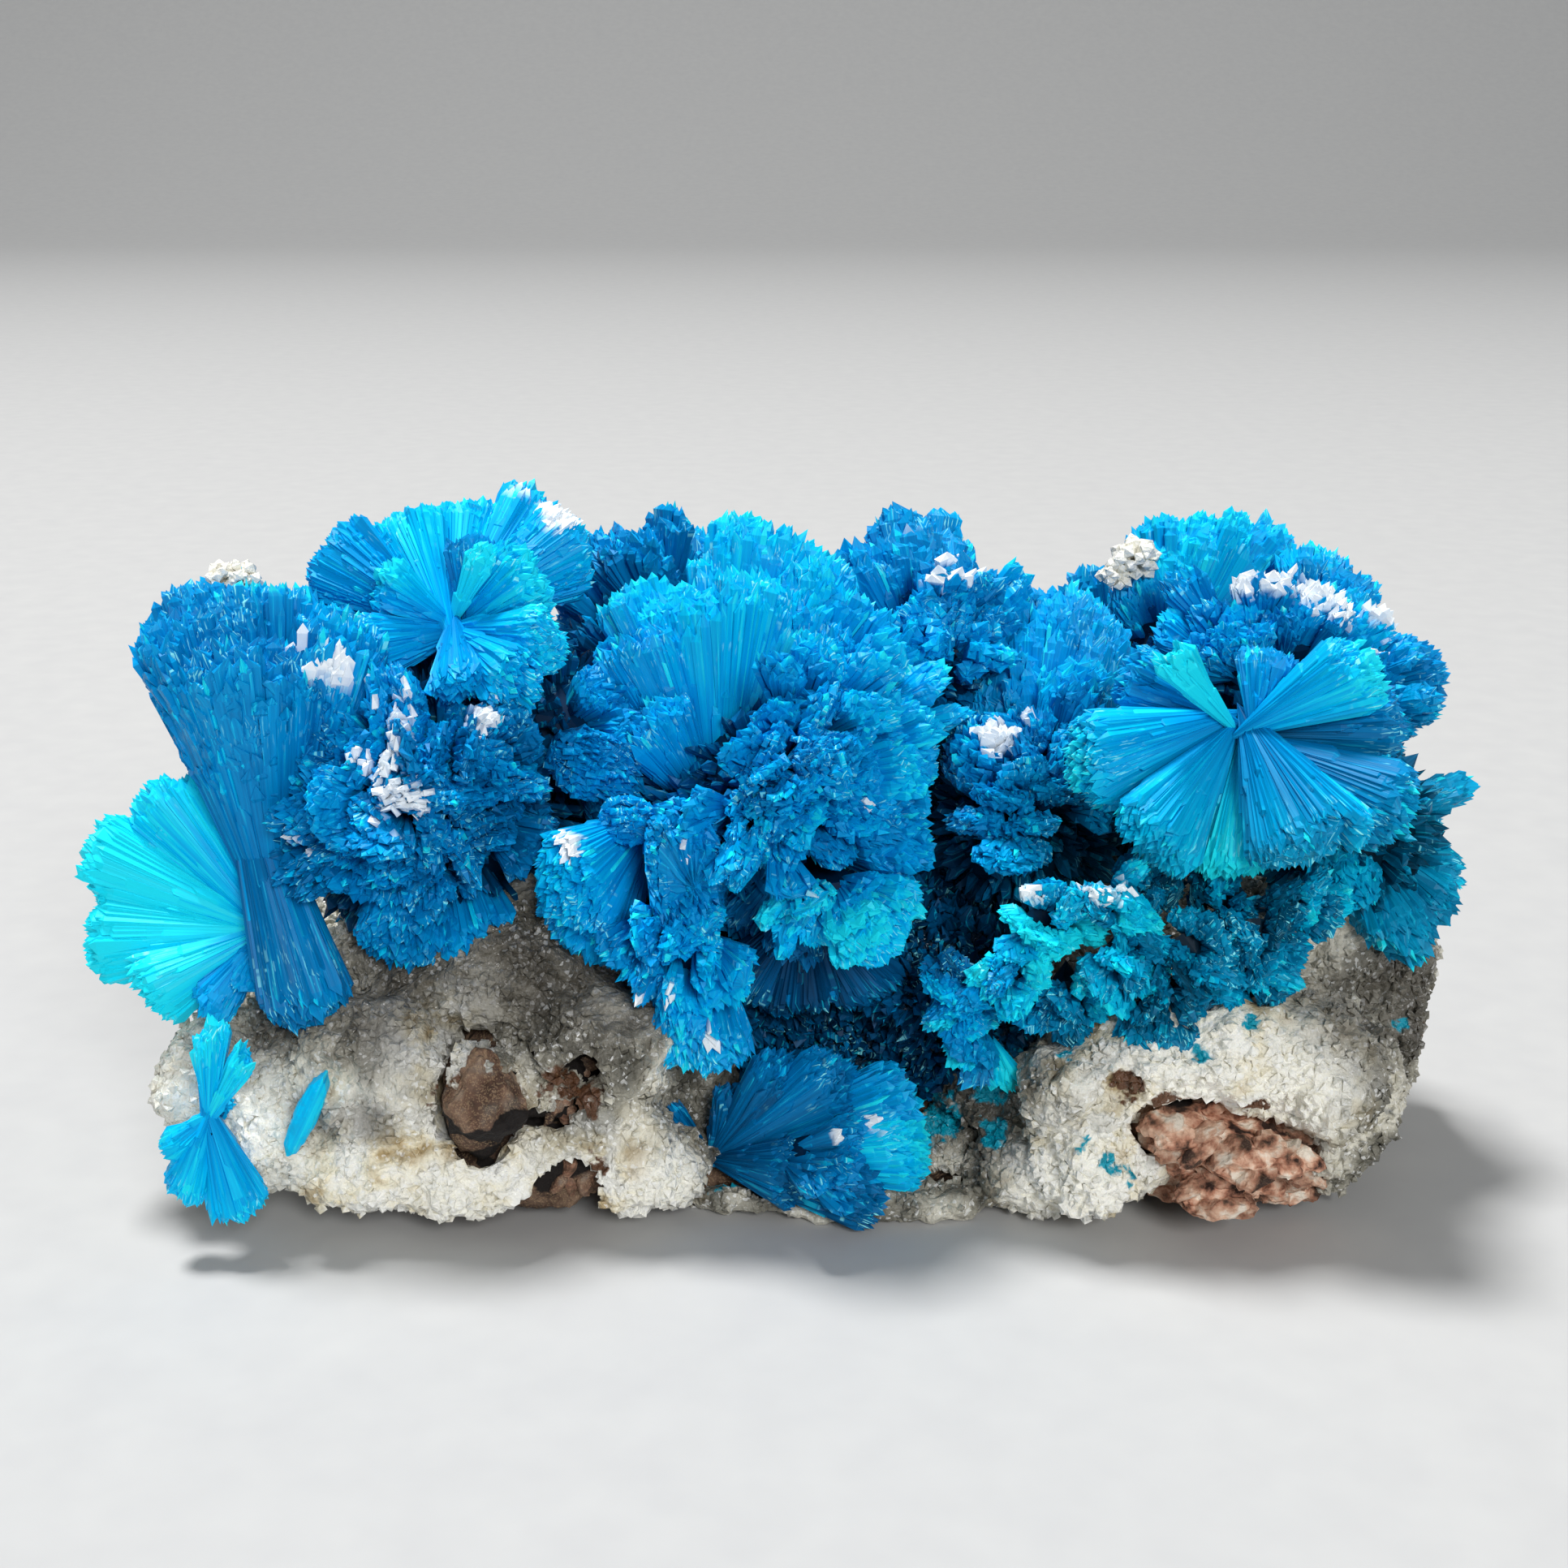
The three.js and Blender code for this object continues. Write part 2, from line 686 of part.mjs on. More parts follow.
function hollowSpraySolid() {
  return withoutShortEdges(rosette(HOLLOW_SPRAY, SEEDS.hollowSpray), SHORTEST_IN_SPRAY);
}

function leftSheafSolid() {
  return withoutShortEdges(rosette(LEFT_SHEAF, SEEDS.leftSheaf), SHORTEST_IN_SPRAY);
}

function lensSolid() {
  const lens = new THREE.OctahedronGeometry(1, 1);
  lens.scale(LENS.width / 2, LENS.depth / 2, LENS.length / 2);
  lens.rotateY(THREE.MathUtils.degToRad(LENS.tilt));
  lens.translate(...LENS.centre);
  return solidOf(lens);
}

function piece(name, solid, material) {
  const mesh = new THREE.Mesh(geometryOf(solid), new THREE.MeshStandardMaterial(material));
  mesh.name = name;
  return mesh;
}

const specimen = new THREE.Group();
specimen.add(piece("basalt_base", mainBody(rockSolid()), BASALT));
specimen.add(piece("zeolite_crust", mainBody(crustSolid().subtract(rockRoom)), ZEOLITE));
specimen.add(piece("cavansite_cluster", mainBody(clusterSolid().subtract(matrixRoom)), CAVANSITE));
specimen.add(piece("cavansite_hollow_spray", mainBody(hollowSpraySolid().subtract(matrixRoom)), CAVANSITE));
specimen.add(piece("cavansite_left_sheaf", mainBody(leftSheafSolid().subtract(matrixRoom)), CAVANSITE));
specimen.add(piece("cavansite_lens_crystal", mainBody(lensSolid().subtract(matrixRoom)), CAVANSITE));

export default specimen;
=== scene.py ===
import bpy
import math
import numpy as np
from mathutils import Euler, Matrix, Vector
from mathutils.bvhtree import BVHTree


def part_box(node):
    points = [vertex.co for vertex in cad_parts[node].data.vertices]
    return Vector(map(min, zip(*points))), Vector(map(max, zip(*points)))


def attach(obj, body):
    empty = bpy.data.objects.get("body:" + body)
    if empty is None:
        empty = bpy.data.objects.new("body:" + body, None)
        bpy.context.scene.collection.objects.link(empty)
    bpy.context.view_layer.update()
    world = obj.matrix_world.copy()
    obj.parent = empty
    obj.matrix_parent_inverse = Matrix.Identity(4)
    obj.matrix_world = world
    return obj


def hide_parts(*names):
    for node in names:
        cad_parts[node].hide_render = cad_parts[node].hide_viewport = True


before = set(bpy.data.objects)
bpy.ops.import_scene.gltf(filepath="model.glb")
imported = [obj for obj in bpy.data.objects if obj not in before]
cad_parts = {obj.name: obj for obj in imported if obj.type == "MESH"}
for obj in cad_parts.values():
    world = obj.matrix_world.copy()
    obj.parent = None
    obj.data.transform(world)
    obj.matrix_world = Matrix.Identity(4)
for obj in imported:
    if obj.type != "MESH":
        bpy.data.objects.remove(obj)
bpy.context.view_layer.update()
bpy.ops.object.select_all(action="DESELECT")

# The floor is a plain pale sweep of paper that curves up behind the specimen, and isn't part of it.
# Its sizes, like all the others, are in millimetres worked out from the length of the blue cluster.
CLUSTER_LOW, CLUSTER_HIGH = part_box("cavansite_cluster")
CLUSTER_LENGTH = 74
MM = (CLUSTER_HIGH.x - CLUSTER_LOW.x) / CLUSTER_LENGTH
SWEEP_SIZE = 3000 * MM
SWEEP_RISE = 2200 * MM
SWEEP_BEND = 600 * MM
SWEEP_STEPS = 16
SWEEP_DROP = 0.05 * MM
PAPER_GRAIN = 900
PAPER_TINTS = {"A": (0.50, 0.50, 0.50, 1), "B": (0.56, 0.56, 0.55, 1)}
bpy.ops.mesh.primitive_plane_add(size=SWEEP_SIZE, location=(0, 0, -SWEEP_DROP))
floor = bpy.context.active_object
floor.name = "floor"
bpy.ops.object.transform_apply(location=True, rotation=True, scale=True)


def pick_edges(test):
    """Selects the edges of the floor whose two ends pass a test, and nothing else."""
    bpy.ops.object.mode_set(mode="EDIT")
    bpy.ops.mesh.select_mode(type="EDGE")
    bpy.ops.mesh.select_all(action="DESELECT")
    bpy.ops.object.mode_set(mode="OBJECT")
    for edge in floor.data.edges:
        edge.select = all(test(floor.data.vertices[k].co) for k in edge.vertices)
    bpy.ops.object.mode_set(mode="EDIT")


pick_edges(lambda end: end.y > 0)
bpy.ops.mesh.extrude_region_move(TRANSFORM_OT_translate={"value": (0, 0, SWEEP_RISE)})
pick_edges(lambda end: end.y > 0 and end.z < MM)
bpy.ops.mesh.bevel(offset=SWEEP_BEND, segments=SWEEP_STEPS, profile=0.5, affect="EDGES")
bpy.ops.object.mode_set(mode="OBJECT")
bpy.ops.object.shade_smooth()
floor_paper = bpy.data.materials.new("floor_paper")
floor_paper.use_nodes = True
paper = floor_paper.node_tree
paper_shader = paper.nodes["Principled BSDF"]
paper_shader.inputs["Roughness"].default_value = 0.8
paper_grain = paper.nodes.new("ShaderNodeTexNoise")
paper_grain.inputs["Scale"].default_value = PAPER_GRAIN
paper_tint = paper.nodes.new("ShaderNodeMix")
paper_tint.data_type = "RGBA"
for side, tint in PAPER_TINTS.items():
    paper_tint.inputs[side].default_value = tint
paper.links.new(paper_grain.outputs["Fac"], paper_tint.inputs["Factor"])
paper.links.new(paper_tint.outputs["Result"], paper_shader.inputs["Base Color"])
floor.data.materials.append(floor_paper)

# The camera looks down on the show side at the photograph's angle, aimed at the middle of the sprays.
# Its lens and film are those of a plain 50 mm camera, near enough to fill the picture's width.
CAMERA_FALL = math.radians(17)
CAMERA_WAY = 121 * MM
CAMERA_AIM = Vector((0, 0, 20 * MM))
CAMERA_LENS = 50
CAMERA_FILM = 36
camera = bpy.data.objects.new("camera", bpy.data.cameras.new("camera"))
bpy.context.scene.collection.objects.link(camera)
camera.data.lens = CAMERA_LENS
camera.data.sensor_width = CAMERA_FILM
camera.data.clip_start = 5 * MM
camera.data.clip_end = 3 * SWEEP_SIZE
camera.location = CAMERA_AIM + CAMERA_WAY * Vector((0, -math.cos(CAMERA_FALL), math.sin(CAMERA_FALL)))
camera.rotation_euler = (math.pi / 2 - CAMERA_FALL, 0, 0)
bpy.context.scene.camera = camera

# The light is soft studio light: a key from above and behind that rakes the tops of the sprays, a
# weaker one from the front right, and a pale room. Each lamp has its place, its breadth and its power.
LAMPS = {
    "key_light": (Vector((-250 * MM, 120 * MM, 1150 * MM)), 260 * MM, 15),
    "front_light": (Vector((330 * MM, -1050 * MM, 620 * MM)), 420 * MM, 7.6),
}
ROOM_TINT = (0.80, 0.83, 0.86, 1)
ROOM_STRENGTH = 0.25
for lamp_name, (lamp_place, breadth, power) in LAMPS.items():
    lamp = bpy.data.lights.new(lamp_name, "AREA")
    lamp.shape = "DISK"
    lamp.size = breadth
    lamp.energy = power
    light = bpy.data.objects.new(lamp_name, lamp)
    light.location = lamp_place
    light.rotation_euler = (CAMERA_AIM - lamp_place).to_track_quat("-Z", "Y").to_euler()
    bpy.context.scene.collection.objects.link(light)
room = bpy.data.worlds.new("pale_room")
room.use_nodes = True
room.node_tree.nodes["Background"].inputs["Color"].default_value = ROOM_TINT
room.node_tree.nodes["Background"].inputs["Strength"].default_value = ROOM_STRENGTH
bpy.context.scene.world = room
bpy.context.scene.view_settings.view_transform = "Standard"

# The basalt is the brown host rock, crumbly and matt, with rust-red patches, near-black painted shade in
# its crevices and pale flecks of painted sparkle. It was broken off with the crust on it, and it shows in
# the two hollows of the front and along the bottom edge.
ROCK_GRAIN = 0.4 * MM
ROCK_RELIEFS = [(2 * MM, 0.9 * MM), (0.8 * MM, 0.5 * MM)]
MERGE_WITHIN = 0.002 * MM
PATCH_RAGGED = 1.2
PATCH_CRISP = 8
RUST_SPOTS = [(22.5, -16, 5, 6.5), (-10, -15, 9, 1.3), (-8.5, -15.5, 2.5, 2.5)]
# Spots where painted shade darkens the crevices of the rock.
CREVICE_SHADE_SPOTS = [
    (-12.3, -14.2, 7, 3), (-10.3, -14, 8.5, 2.6), (-11, -14, 5, 2.6), (-12.6, -14.5, 9.5, 1.8),
    (-12, -15, 3.8, 2), (-17.2, -14.5, 6.5, 1.4), (-15, -15, 4.6, 1.6), (20, -13.5, 8, 1.6),
    (24, -13.5, 7.6, 1.6), (19.5, -14, 5, 1.4),
]


def roughen(piece, reliefs):
    """Pushes the skin of a piece in and out by each relief (size, depth)."""
    bpy.context.view_layer.objects.active = piece
    for size, depth in reliefs:
        texture = bpy.data.textures.new(f"{piece.name}_clouds", "CLOUDS")
        texture.noise_scale = size
        push = piece.modifiers.new("relief", "DISPLACE")
        push.texture = texture
        push.texture_coords = "LOCAL"
        push.strength = depth
        push.mid_level = 0.5
        bpy.ops.object.modifier_apply(modifier=push.name)


def rough_copy(node, name, grain, reliefs):
    """A copy of a node's solid, merged, remeshed at the grain's size and roughened."""
    piece = bpy.data.objects.new(name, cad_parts[node].data.copy())
    bpy.context.scene.collection.objects.link(piece)
    bpy.ops.object.select_all(action="DESELECT")
    piece.select_set(True)
    bpy.context.view_layer.objects.active = piece
    bpy.ops.object.mode_set(mode="EDIT")
    bpy.ops.mesh.select_all(action="SELECT")
    bpy.ops.mesh.remove_doubles(threshold=MERGE_WITHIN)
    bpy.ops.mesh.normals_make_consistent(inside=False)
    bpy.ops.object.mode_set(mode="OBJECT")
    piece.data.materials.clear()
    remesh = piece.modifiers.new("grain", "REMESH")
    remesh.mode = "VOXEL"
    remesh.voxel_size = grain
    bpy.ops.object.modifier_apply(modifier=remesh.name)
    roughen(piece, reliefs)
    points = mesh_points(piece.data)
    points[:, 2] = np.maximum(points[:, 2], 0)
    piece.data.vertices.foreach_set("co", points.ravel())
    piece.data.update()
    return piece


def mesh_piece(name, points, triangles):
    """An object with a flat-faced mesh from arrays of points and triangles."""
    mesh = bpy.data.meshes.new(name)
    mesh.vertices.add(len(points))
    mesh.vertices.foreach_set("co", points.ravel())
    mesh.loops.add(triangles.size)
    mesh.loops.foreach_set("vertex_index", triangles.ravel())
    mesh.polygons.add(len(triangles))
    mesh.polygons.foreach_set("loop_start", np.arange(0, triangles.size, 3))
    mesh.update(calc_edges=True)
    mesh.shade_flat()
    piece = bpy.data.objects.new(name, mesh)
    bpy.context.scene.collection.objects.link(piece)
    return piece


def mesh_points(mesh):
    points = np.empty(len(mesh.vertices) * 3)
    mesh.vertices.foreach_get("co", points)
    return points.reshape(-1, 3)


def nearness(points, spots):
    """How near each point is to the nearest spot (x, y, z, radius in millimetres), from 1 down to 0."""
    near = np.zeros(len(points))
    for x, y, z, radius in spots:
        away = np.linalg.norm(points - np.array((x, y, z)) * MM, axis=1)
        near = np.maximum(near, np.clip(1.6 - 1.6 * away / (radius * MM), 0, 1))
    return near


def mark(mesh, name, values):
    layer = mesh.attributes.new(name, "FLOAT", "POINT")
    layer.data.foreach_set("value", np.asarray(values, np.float32))


def read_mark(tree, name):
    node = tree.nodes.new("ShaderNodeAttribute")
    node.attribute_name = name
    return node.outputs["Fac"]


def noise(tree, scale, detail=4.0, place=None):
    node = tree.nodes.new("ShaderNodeTexNoise")
    node.inputs["Scale"].default_value = scale
    node.inputs["Detail"].default_value = detail
    if place is None:
        place = tree.nodes.new("ShaderNodeTexCoord").outputs["Object"]
    tree.links.new(place, node.inputs["Vector"])
    return node.outputs["Fac"]


def facets(tree, scale, share):
    """Crisp small facets, each a cell of the given scale, that cover a share of the surface."""
    node = tree.nodes.new("ShaderNodeTexVoronoi")
    node.inputs["Scale"].default_value = scale
    tree.links.new(tree.nodes.new("ShaderNodeTexCoord").outputs["Object"], node.inputs["Vector"])
    red = tree.nodes.new("ShaderNodeSeparateColor")
    tree.links.new(node.outputs["Color"], red.inputs["Color"])
    return reckon(tree, "GREATER_THAN", red.outputs["Red"], 1 - share)


def ramp(tree, source, stops):
    node = tree.nodes.new("ShaderNodeValToRGB")
    while len(node.color_ramp.elements) < len(stops):
        node.color_ramp.elements.new(0.5)
    for element, (at, colour) in zip(node.color_ramp.elements, stops):
        element.position = at
        element.color = (*colour, 1)
    tree.links.new(source, node.inputs["Fac"])
    return node.outputs["Color"]


def blend(tree, factor, one, other):
    """Mixes two colours, each a socket or a plain colour, by a socket."""
    node = tree.nodes.new("ShaderNodeMix")
    node.data_type = "RGBA"
    tree.links.new(factor, node.inputs["Factor"])
    for socket, value in ((node.inputs["A"], one), (node.inputs["B"], other)):
        if isinstance(value, bpy.types.NodeSocket):
            tree.links.new(value, socket)
        else:
            socket.default_value = (*value, 1)
    return node.outputs["Result"]


def reckon(tree, operation, *values, clamped=False):
    """One step of arithmetic on sockets or plain numbers, kept between 0 and 1 if clamped."""
    node = tree.nodes.new("ShaderNodeMath")
    node.operation = operation
    node.use_clamp = clamped
    for socket, value in zip(node.inputs, values):
        if isinstance(value, bpy.types.NodeSocket):
            tree.links.new(value, socket)
        else:
            socket.default_value = value
    return node.outputs["Value"]


def raised(tree, height, depth):
    node = tree.nodes.new("ShaderNodeBump")
    node.inputs["Distance"].default_value = depth
    tree.links.new(height, node.inputs["Height"])
    return node.outputs["Normal"]


def finish_of(name):
    material = bpy.data.materials.new(name)
    material.use_nodes = True
    return material, material.node_tree, material.node_tree.nodes["Principled BSDF"]


def patches(tree, near, scale, edge):
    """Crisp ragged patches where a mark is near 1, from a soft mark and noise of the given scale."""
    raggedness = reckon(tree, "MULTIPLY_ADD", noise(tree, scale), PATCH_RAGGED, near)
    return reckon(tree, "MULTIPLY", reckon(tree, "SUBTRACT", raggedness, edge), PATCH_CRISP, clamped=True)


basalt_finish, tree, shader = finish_of("basalt")
brown = ramp(
    tree,
    noise(tree, 520, 6),
    [(0.32, (0.012, 0.006, 0.004)), (0.5, (0.10, 0.055, 0.035)), (0.66, (0.22, 0.14, 0.09))],
)
# Pale golden flecks paint the sparkle of the rock's grains: painted highlights.
brown = blend(tree, reckon(tree, "MULTIPLY", facets(tree, 15000, 0.25), 0.45), brown, (0.36, 0.25, 0.14))
rust = ramp(
    tree,
    noise(tree, 900, 6),
    [
        (0.38, (0.03, 0.012, 0.008)),
        (0.47, (0.52, 0.24, 0.15)),
        (0.56, (0.86, 0.56, 0.40)),
        (0.64, (1.0, 0.90, 0.76)),
    ],
)
rock = blend(tree, read_mark(tree, "rust"), brown, rust)
# Painted shade: ragged near-black patches in the crevices.
rock = blend(tree, patches(tree, read_mark(tree, "crevice_shade"), 700, 0.85), rock, (0.008, 0.005, 0.004))
tree.links.new(rock, shader.inputs["Base Color"])
shader.inputs["Roughness"].default_value = 0.9
tree.links.new(raised(tree, noise(tree, 2600, 3), 0.25 * MM), shader.inputs["Normal"])

basalt = rough_copy("basalt_base", "basalt_rock", ROCK_GRAIN, ROCK_RELIEFS)
mark(basalt.data, "rust", nearness(mesh_points(basalt.data), RUST_SPOTS))
mark(basalt.data, "crevice_shade", nearness(mesh_points(basalt.data), CREVICE_SHADE_SPOTS))
basalt.data.materials.append(basalt_finish)
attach(basalt, "root")
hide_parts("basalt_base")

# The rubble is the broken face of the basalt in the two hollows: red crumbs two or three millimetres
# across wedged together at the right, and small brown ones at the left.
RED_CRUMBS = {
    "areas": [((17.8, 1.6), (27.8, 8))],
    "step": 1.05,
    "sizes": (0.6, 1.15),
    "flatness": (1.4, 0.9, 0.75),
    "tones": (0.5, 1),
    "fineness": 3,
    "seed": 8,
}
BROWN_CRUMBS = {
    "areas": [((-11.8, 2.6), (-7.6, 10.6))],
    "step": 0.8,
    "sizes": (0.25, 0.7),
    "flatness": (1, 0.8, 1.3),
    "tones": (0, 0.4),
    "fineness": 2,
    "seed": 14,
}
CRUMB_ROUGHNESS = 0.2
CRUMB_SHIFT = 0.3
CRUMB_TURN = 0.6
CRUMB_SINK = (0, 0.15 * MM, 0)
CRUMB_RELIEFS = [(0.7 * MM, 0.6 * MM)]
RUBBLE_IN_FRONT = 25 * MM
INWARD = Vector((0, 1, 0))


def ball_model(fineness, radius=1):
    """The points and triangles of a ball."""
    bpy.ops.mesh.primitive_ico_sphere_add(subdivisions=fineness, radius=radius)
    ball = bpy.context.active_object
    points = mesh_points(ball.data)
    triangles = np.array([tuple(face.vertices) for face in ball.data.polygons])
    bpy.data.objects.remove(ball)
    return points, triangles


def crumb_model(roughness, dice, fineness):
    """The points and triangles of one rough crumb, a unit in radius."""
    points, triangles = ball_model(fineness)
    return points * dice.uniform(1 - roughness, 1, (len(points), 1)), triangles


def tree_of(piece):
    corners = [vertex.co for vertex in piece.data.vertices]
    return BVHTree.FromPolygons(corners, [face.vertices for face in piece.data.polygons])


def joined(parts):
    """The points and the triangles of all the parts in one."""
    starts = np.cumsum([0] + [len(part[0]) for part in parts])
    triangles = [part[1] + start for part, start in zip(parts, starts)]
    return np.vstack([part[0] for part in parts]), np.vstack(triangles)


def crumbs_in_hollow(areas, step, sizes, flatness, tones, fineness, seed):
    """Crumbs on jittered grids over areas (x, z), each on the first rock that a look from the front
    meets. Sizes are the least and the greatest; flatness is the share of them along x, y and z."""
    dice = np.random.default_rng(seed)
    rock = tree_of(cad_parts["basalt_base"])
    crust_solid = tree_of(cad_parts["zeolite_crust"])
    spots = [
        (x, z)
        for low, high in areas
        for x in np.arange(low[0], high[0], step)
        for z in np.arange(low[1], high[1], step)
    ]
    crumbs, crumb_tones = [], []
    for x, z in spots:
        start = Vector((x, 0, z)) * MM + Vector(dice.uniform(-CRUMB_SHIFT, CRUMB_SHIFT, 3)) * MM
        start.y = -RUBBLE_IN_FRONT
        seat, _, _, far = rock.ray_cast(start, INWARD)
        if seat is None or (crust_solid.ray_cast(start, INWARD)[3] or 1) < far:
            continue
        crumb, faces = crumb_model(CRUMB_ROUGHNESS, dice, fineness)
        crumb = crumb * dice.uniform(*sizes, 3) * flatness * MM
        turn = Euler(dice.uniform(-CRUMB_TURN, CRUMB_TURN, 3)).to_matrix()
        crumbs.append((crumb @ np.array(turn).T + np.array(seat) + CRUMB_SINK, faces))
        crumb_tones.append(np.full(len(crumb), dice.uniform(*tones)))
    points, triangles = joined(crumbs)
    points[:, 2] = np.maximum(points[:, 2], 0)
    return points, triangles, np.concatenate(crumb_tones)


crumb_groups = [crumbs_in_hollow(**RED_CRUMBS), crumbs_in_hollow(**BROWN_CRUMBS)]
rubble = mesh_piece("basalt_rubble", *joined(crumb_groups))
roughen(rubble, CRUMB_RELIEFS)
mark(rubble.data, "rust", np.concatenate([tones for _, _, tones in crumb_groups]))
mark(rubble.data, "crevice_shade", np.zeros(len(rubble.data.vertices)))
rubble.data.materials.append(basalt_finish)
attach(rubble, "root")
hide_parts("basalt_base")

# The knob is a blunt cone of the brown rock in the left hollow, with painted shade for the dark crevices
# beside it.
KNOB_PLACE = (-15.1, 8.5)
KNOB_SIZES = np.array((1.95, 1.6, 2.5)) * MM
KNOB_TAPER = 0.45
KNOB_ROUGHNESS = 0.07
KNOB_FINENESS = 4
KNOB_SINK = (0, 0.7 * MM, 0)
KNOB_RUST = 0.08
KNOB_RELIEFS = [(1.5 * MM, 1.3 * MM), (0.4 * MM, 0.35 * MM)]
# Spots where painted shade darkens the crevices beside the knob.
KNOB_CREVICE_SHADE = [
    (-15.3, -17, 6, 1.6), (-13.6, -16.5, 6.9, 1.5), (-16.8, -16.4, 6.9, 1.2), (-14.3, -17, 7, 0.9),
]
knob_start = Vector((KNOB_PLACE[0], 0, KNOB_PLACE[1])) * MM
knob_start.y = -RUBBLE_IN_FRONT
knob_seat = tree_of(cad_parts["basalt_base"]).ray_cast(knob_start, INWARD)[0]
knob_points, knob_triangles = crumb_model(KNOB_ROUGHNESS, np.random.default_rng(3), KNOB_FINENESS)
knob_points[:, :2] *= 1 - KNOB_TAPER * knob_points[:, 2:]
knob_points = knob_points * KNOB_SIZES + np.array(knob_seat) + KNOB_SINK
knob = mesh_piece("basalt_knob", knob_points, knob_triangles)
roughen(knob, KNOB_RELIEFS)
mark(knob.data, "rust", np.full(len(knob_points), KNOB_RUST))
mark(knob.data, "crevice_shade", nearness(mesh_points(knob.data), KNOB_CREVICE_SHADE))
knob.data.materials.append(basalt_finish)
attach(knob, "root")
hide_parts("basalt_base")

# The zeolite crust coats the rock: small pale crystals grown together into lumps and balls, cream at the
# edges, grey above, white at the left end, and stained blue where the cavansite meets it. Painted shade
# darkens it under the overhanging sprays and nearly blackens it at the back of the hollows, and white
# flecks are painted sparkle.
CRUST_GRAIN = 0.38 * MM
CRUST_RELIEFS = [(3.5 * MM, 2 * MM), (1.1 * MM, 0.9 * MM)]
CRUST_SPOTS = {
    "cream": [
        (-17, -16, 2.5, 9), (-21, -15, 4, 7), (-9, -15, 2, 6), (21, -16, 9, 9), (16, -15, 4, 6),
        (26, -15, 9, 4.5), (13, -13, 2.5, 3), (-17.5, -16, 12, 4),
    ],
    "white": [
        (-29.7, -13, 7.2, 4), (-26.7, -15, 5.9, 4.2), (13, -13, 2.5, 2.6), (-6, -15, 3, 3),
        (25.5, -15.5, 9.5, 4), (20, -17, 10.5, 3.5), (15, -16, 4, 3), (-17, -17, 2.5, 3.5),
        (-31.1, -13.5, 8, 2.6),
    ],
    "stain": [
        (14, -15, 11.5, 2.4), (18.5, -16, 12.5, 2), (23, -16, 12.5, 1.2), (11, -10, 7, 3.6),
        (8, -9, 4, 3.6), (-3, -11, 2, 3), (16.5, -17, 5.2, 1.5), (17.8, -17, 4.4, 1.6),
        (15.2, -17, 6.4, 1.5), (19, -17, 5, 1.2), (33, -8, 9, 1.1), (11, -12, 4.5, 2), (31, -10, 10, 1.5),
        (16, -17, 11, 1.6), (20.5, -17, 11.3, 1.3),
    ],
    "shade": [
        (9.8, -5.8, 14.3, 4.5), (8.5, -4.4, 15.2, 4.5), (-0.3, -6, 7.8, 3.5), (1.5, -5.4, 7.5, 4),
        (4.2, -6.1, 6.9, 4), (7.5, -7.5, 8, 3.5), (-1.5, -8, 11, 4), (12.2, -9.7, 9.5, 1.6),
        (6.6, -9.2, 11, 4), (6, -9.5, 12.5, 3), (2.5, -7, 18, 4), (0, -8, 16, 4), (-6.5, -9.5, 18, 3),
        (12, -11, 15.5, 4), (16, -12, 16.5, 4), (20, -13, 16, 3.5), (24, -13, 16.5, 3.5),
        (16, -14, 14.5, 2), (21, -14, 14, 2),
    ],
    # Spots where painted shade darkens the crust under the overhanging sprays and in the hollow.
    "underhang_shade": [
        (-20, -14.5, 13.5, 5.5), (-14, -14, 14, 5.5), (-9, -13.5, 13, 5), (29, -13, 13, 5.5),
        (33, -7, 10, 6), (10, -12, 5, 4), (-23.2, -15.7, 7.1, 2.2), (-20.5, -16.3, 7.2, 1.8),
        (-26, -12, 11.5, 3.5),
    ],
    "fringe": [
        (-15.4, -16.5, 8, 4.2), (-10.8, -15.6, 8.3, 3.4), (-9.8, -15.6, 4.4, 1.8), (-12, -16, 1.8, 1.6),
        (17, -16.5, 9.2, 1.8), (19, -17, 8.3, 1.8), (23.5, -17, 7.4, 2.4), (27.5, -16, 4.5, 1.6),
        (34.5, -3, 13, 2.2), (34, -6, 8, 1.8),
    ],
}
CRUST_WHITE = (1.0, 0.98, 0.88)
CRUST_SPARKLE = (1.0, 1.0, 0.97)
CRUST_UNDERHANG_SHADE = (0.055, 0.045, 0.035)
# The fringe and the stain are the crust's own brown and blue; the near-black shade patches are painted
# shade at the back of the hollows and under the front bed.
CRUST_PATCHES = [
    ("fringe", 1300, 1.35, (0.13, 0.06, 0.03)),
    ("stain", 1400, 1.4, (0.0, 0.36, 0.50)),
    ("shade", 600, 0.8, (0.0, 0.02, 0.05)),
]

zeolite_finish, tree, shader = finish_of("zeolite")
grey = ramp(
    tree,
    noise(tree, 300, 5),
    [(0.38, (0.13, 0.125, 0.10)), (0.5, (0.31, 0.295, 0.24)), (0.61, (0.74, 0.71, 0.60))],
)
cream = ramp(
    tree,
    noise(tree, 420, 5),
    [(0.34, (0.50, 0.38, 0.20)), (0.44, (0.95, 0.88, 0.68)), (0.54, (1.0, 0.99, 0.92))],
)
colour = blend(tree, read_mark(tree, "cream"), grey, cream)
colour = blend(tree, read_mark(tree, "white"), colour, CRUST_WHITE)
# Painted sparkle: white flecks where small facets would catch the light.
painted_sparkle = reckon(tree, "MULTIPLY", facets(tree, 5500, 0.1), 0.6)
colour = blend(tree, painted_sparkle, colour, CRUST_SPARKLE)
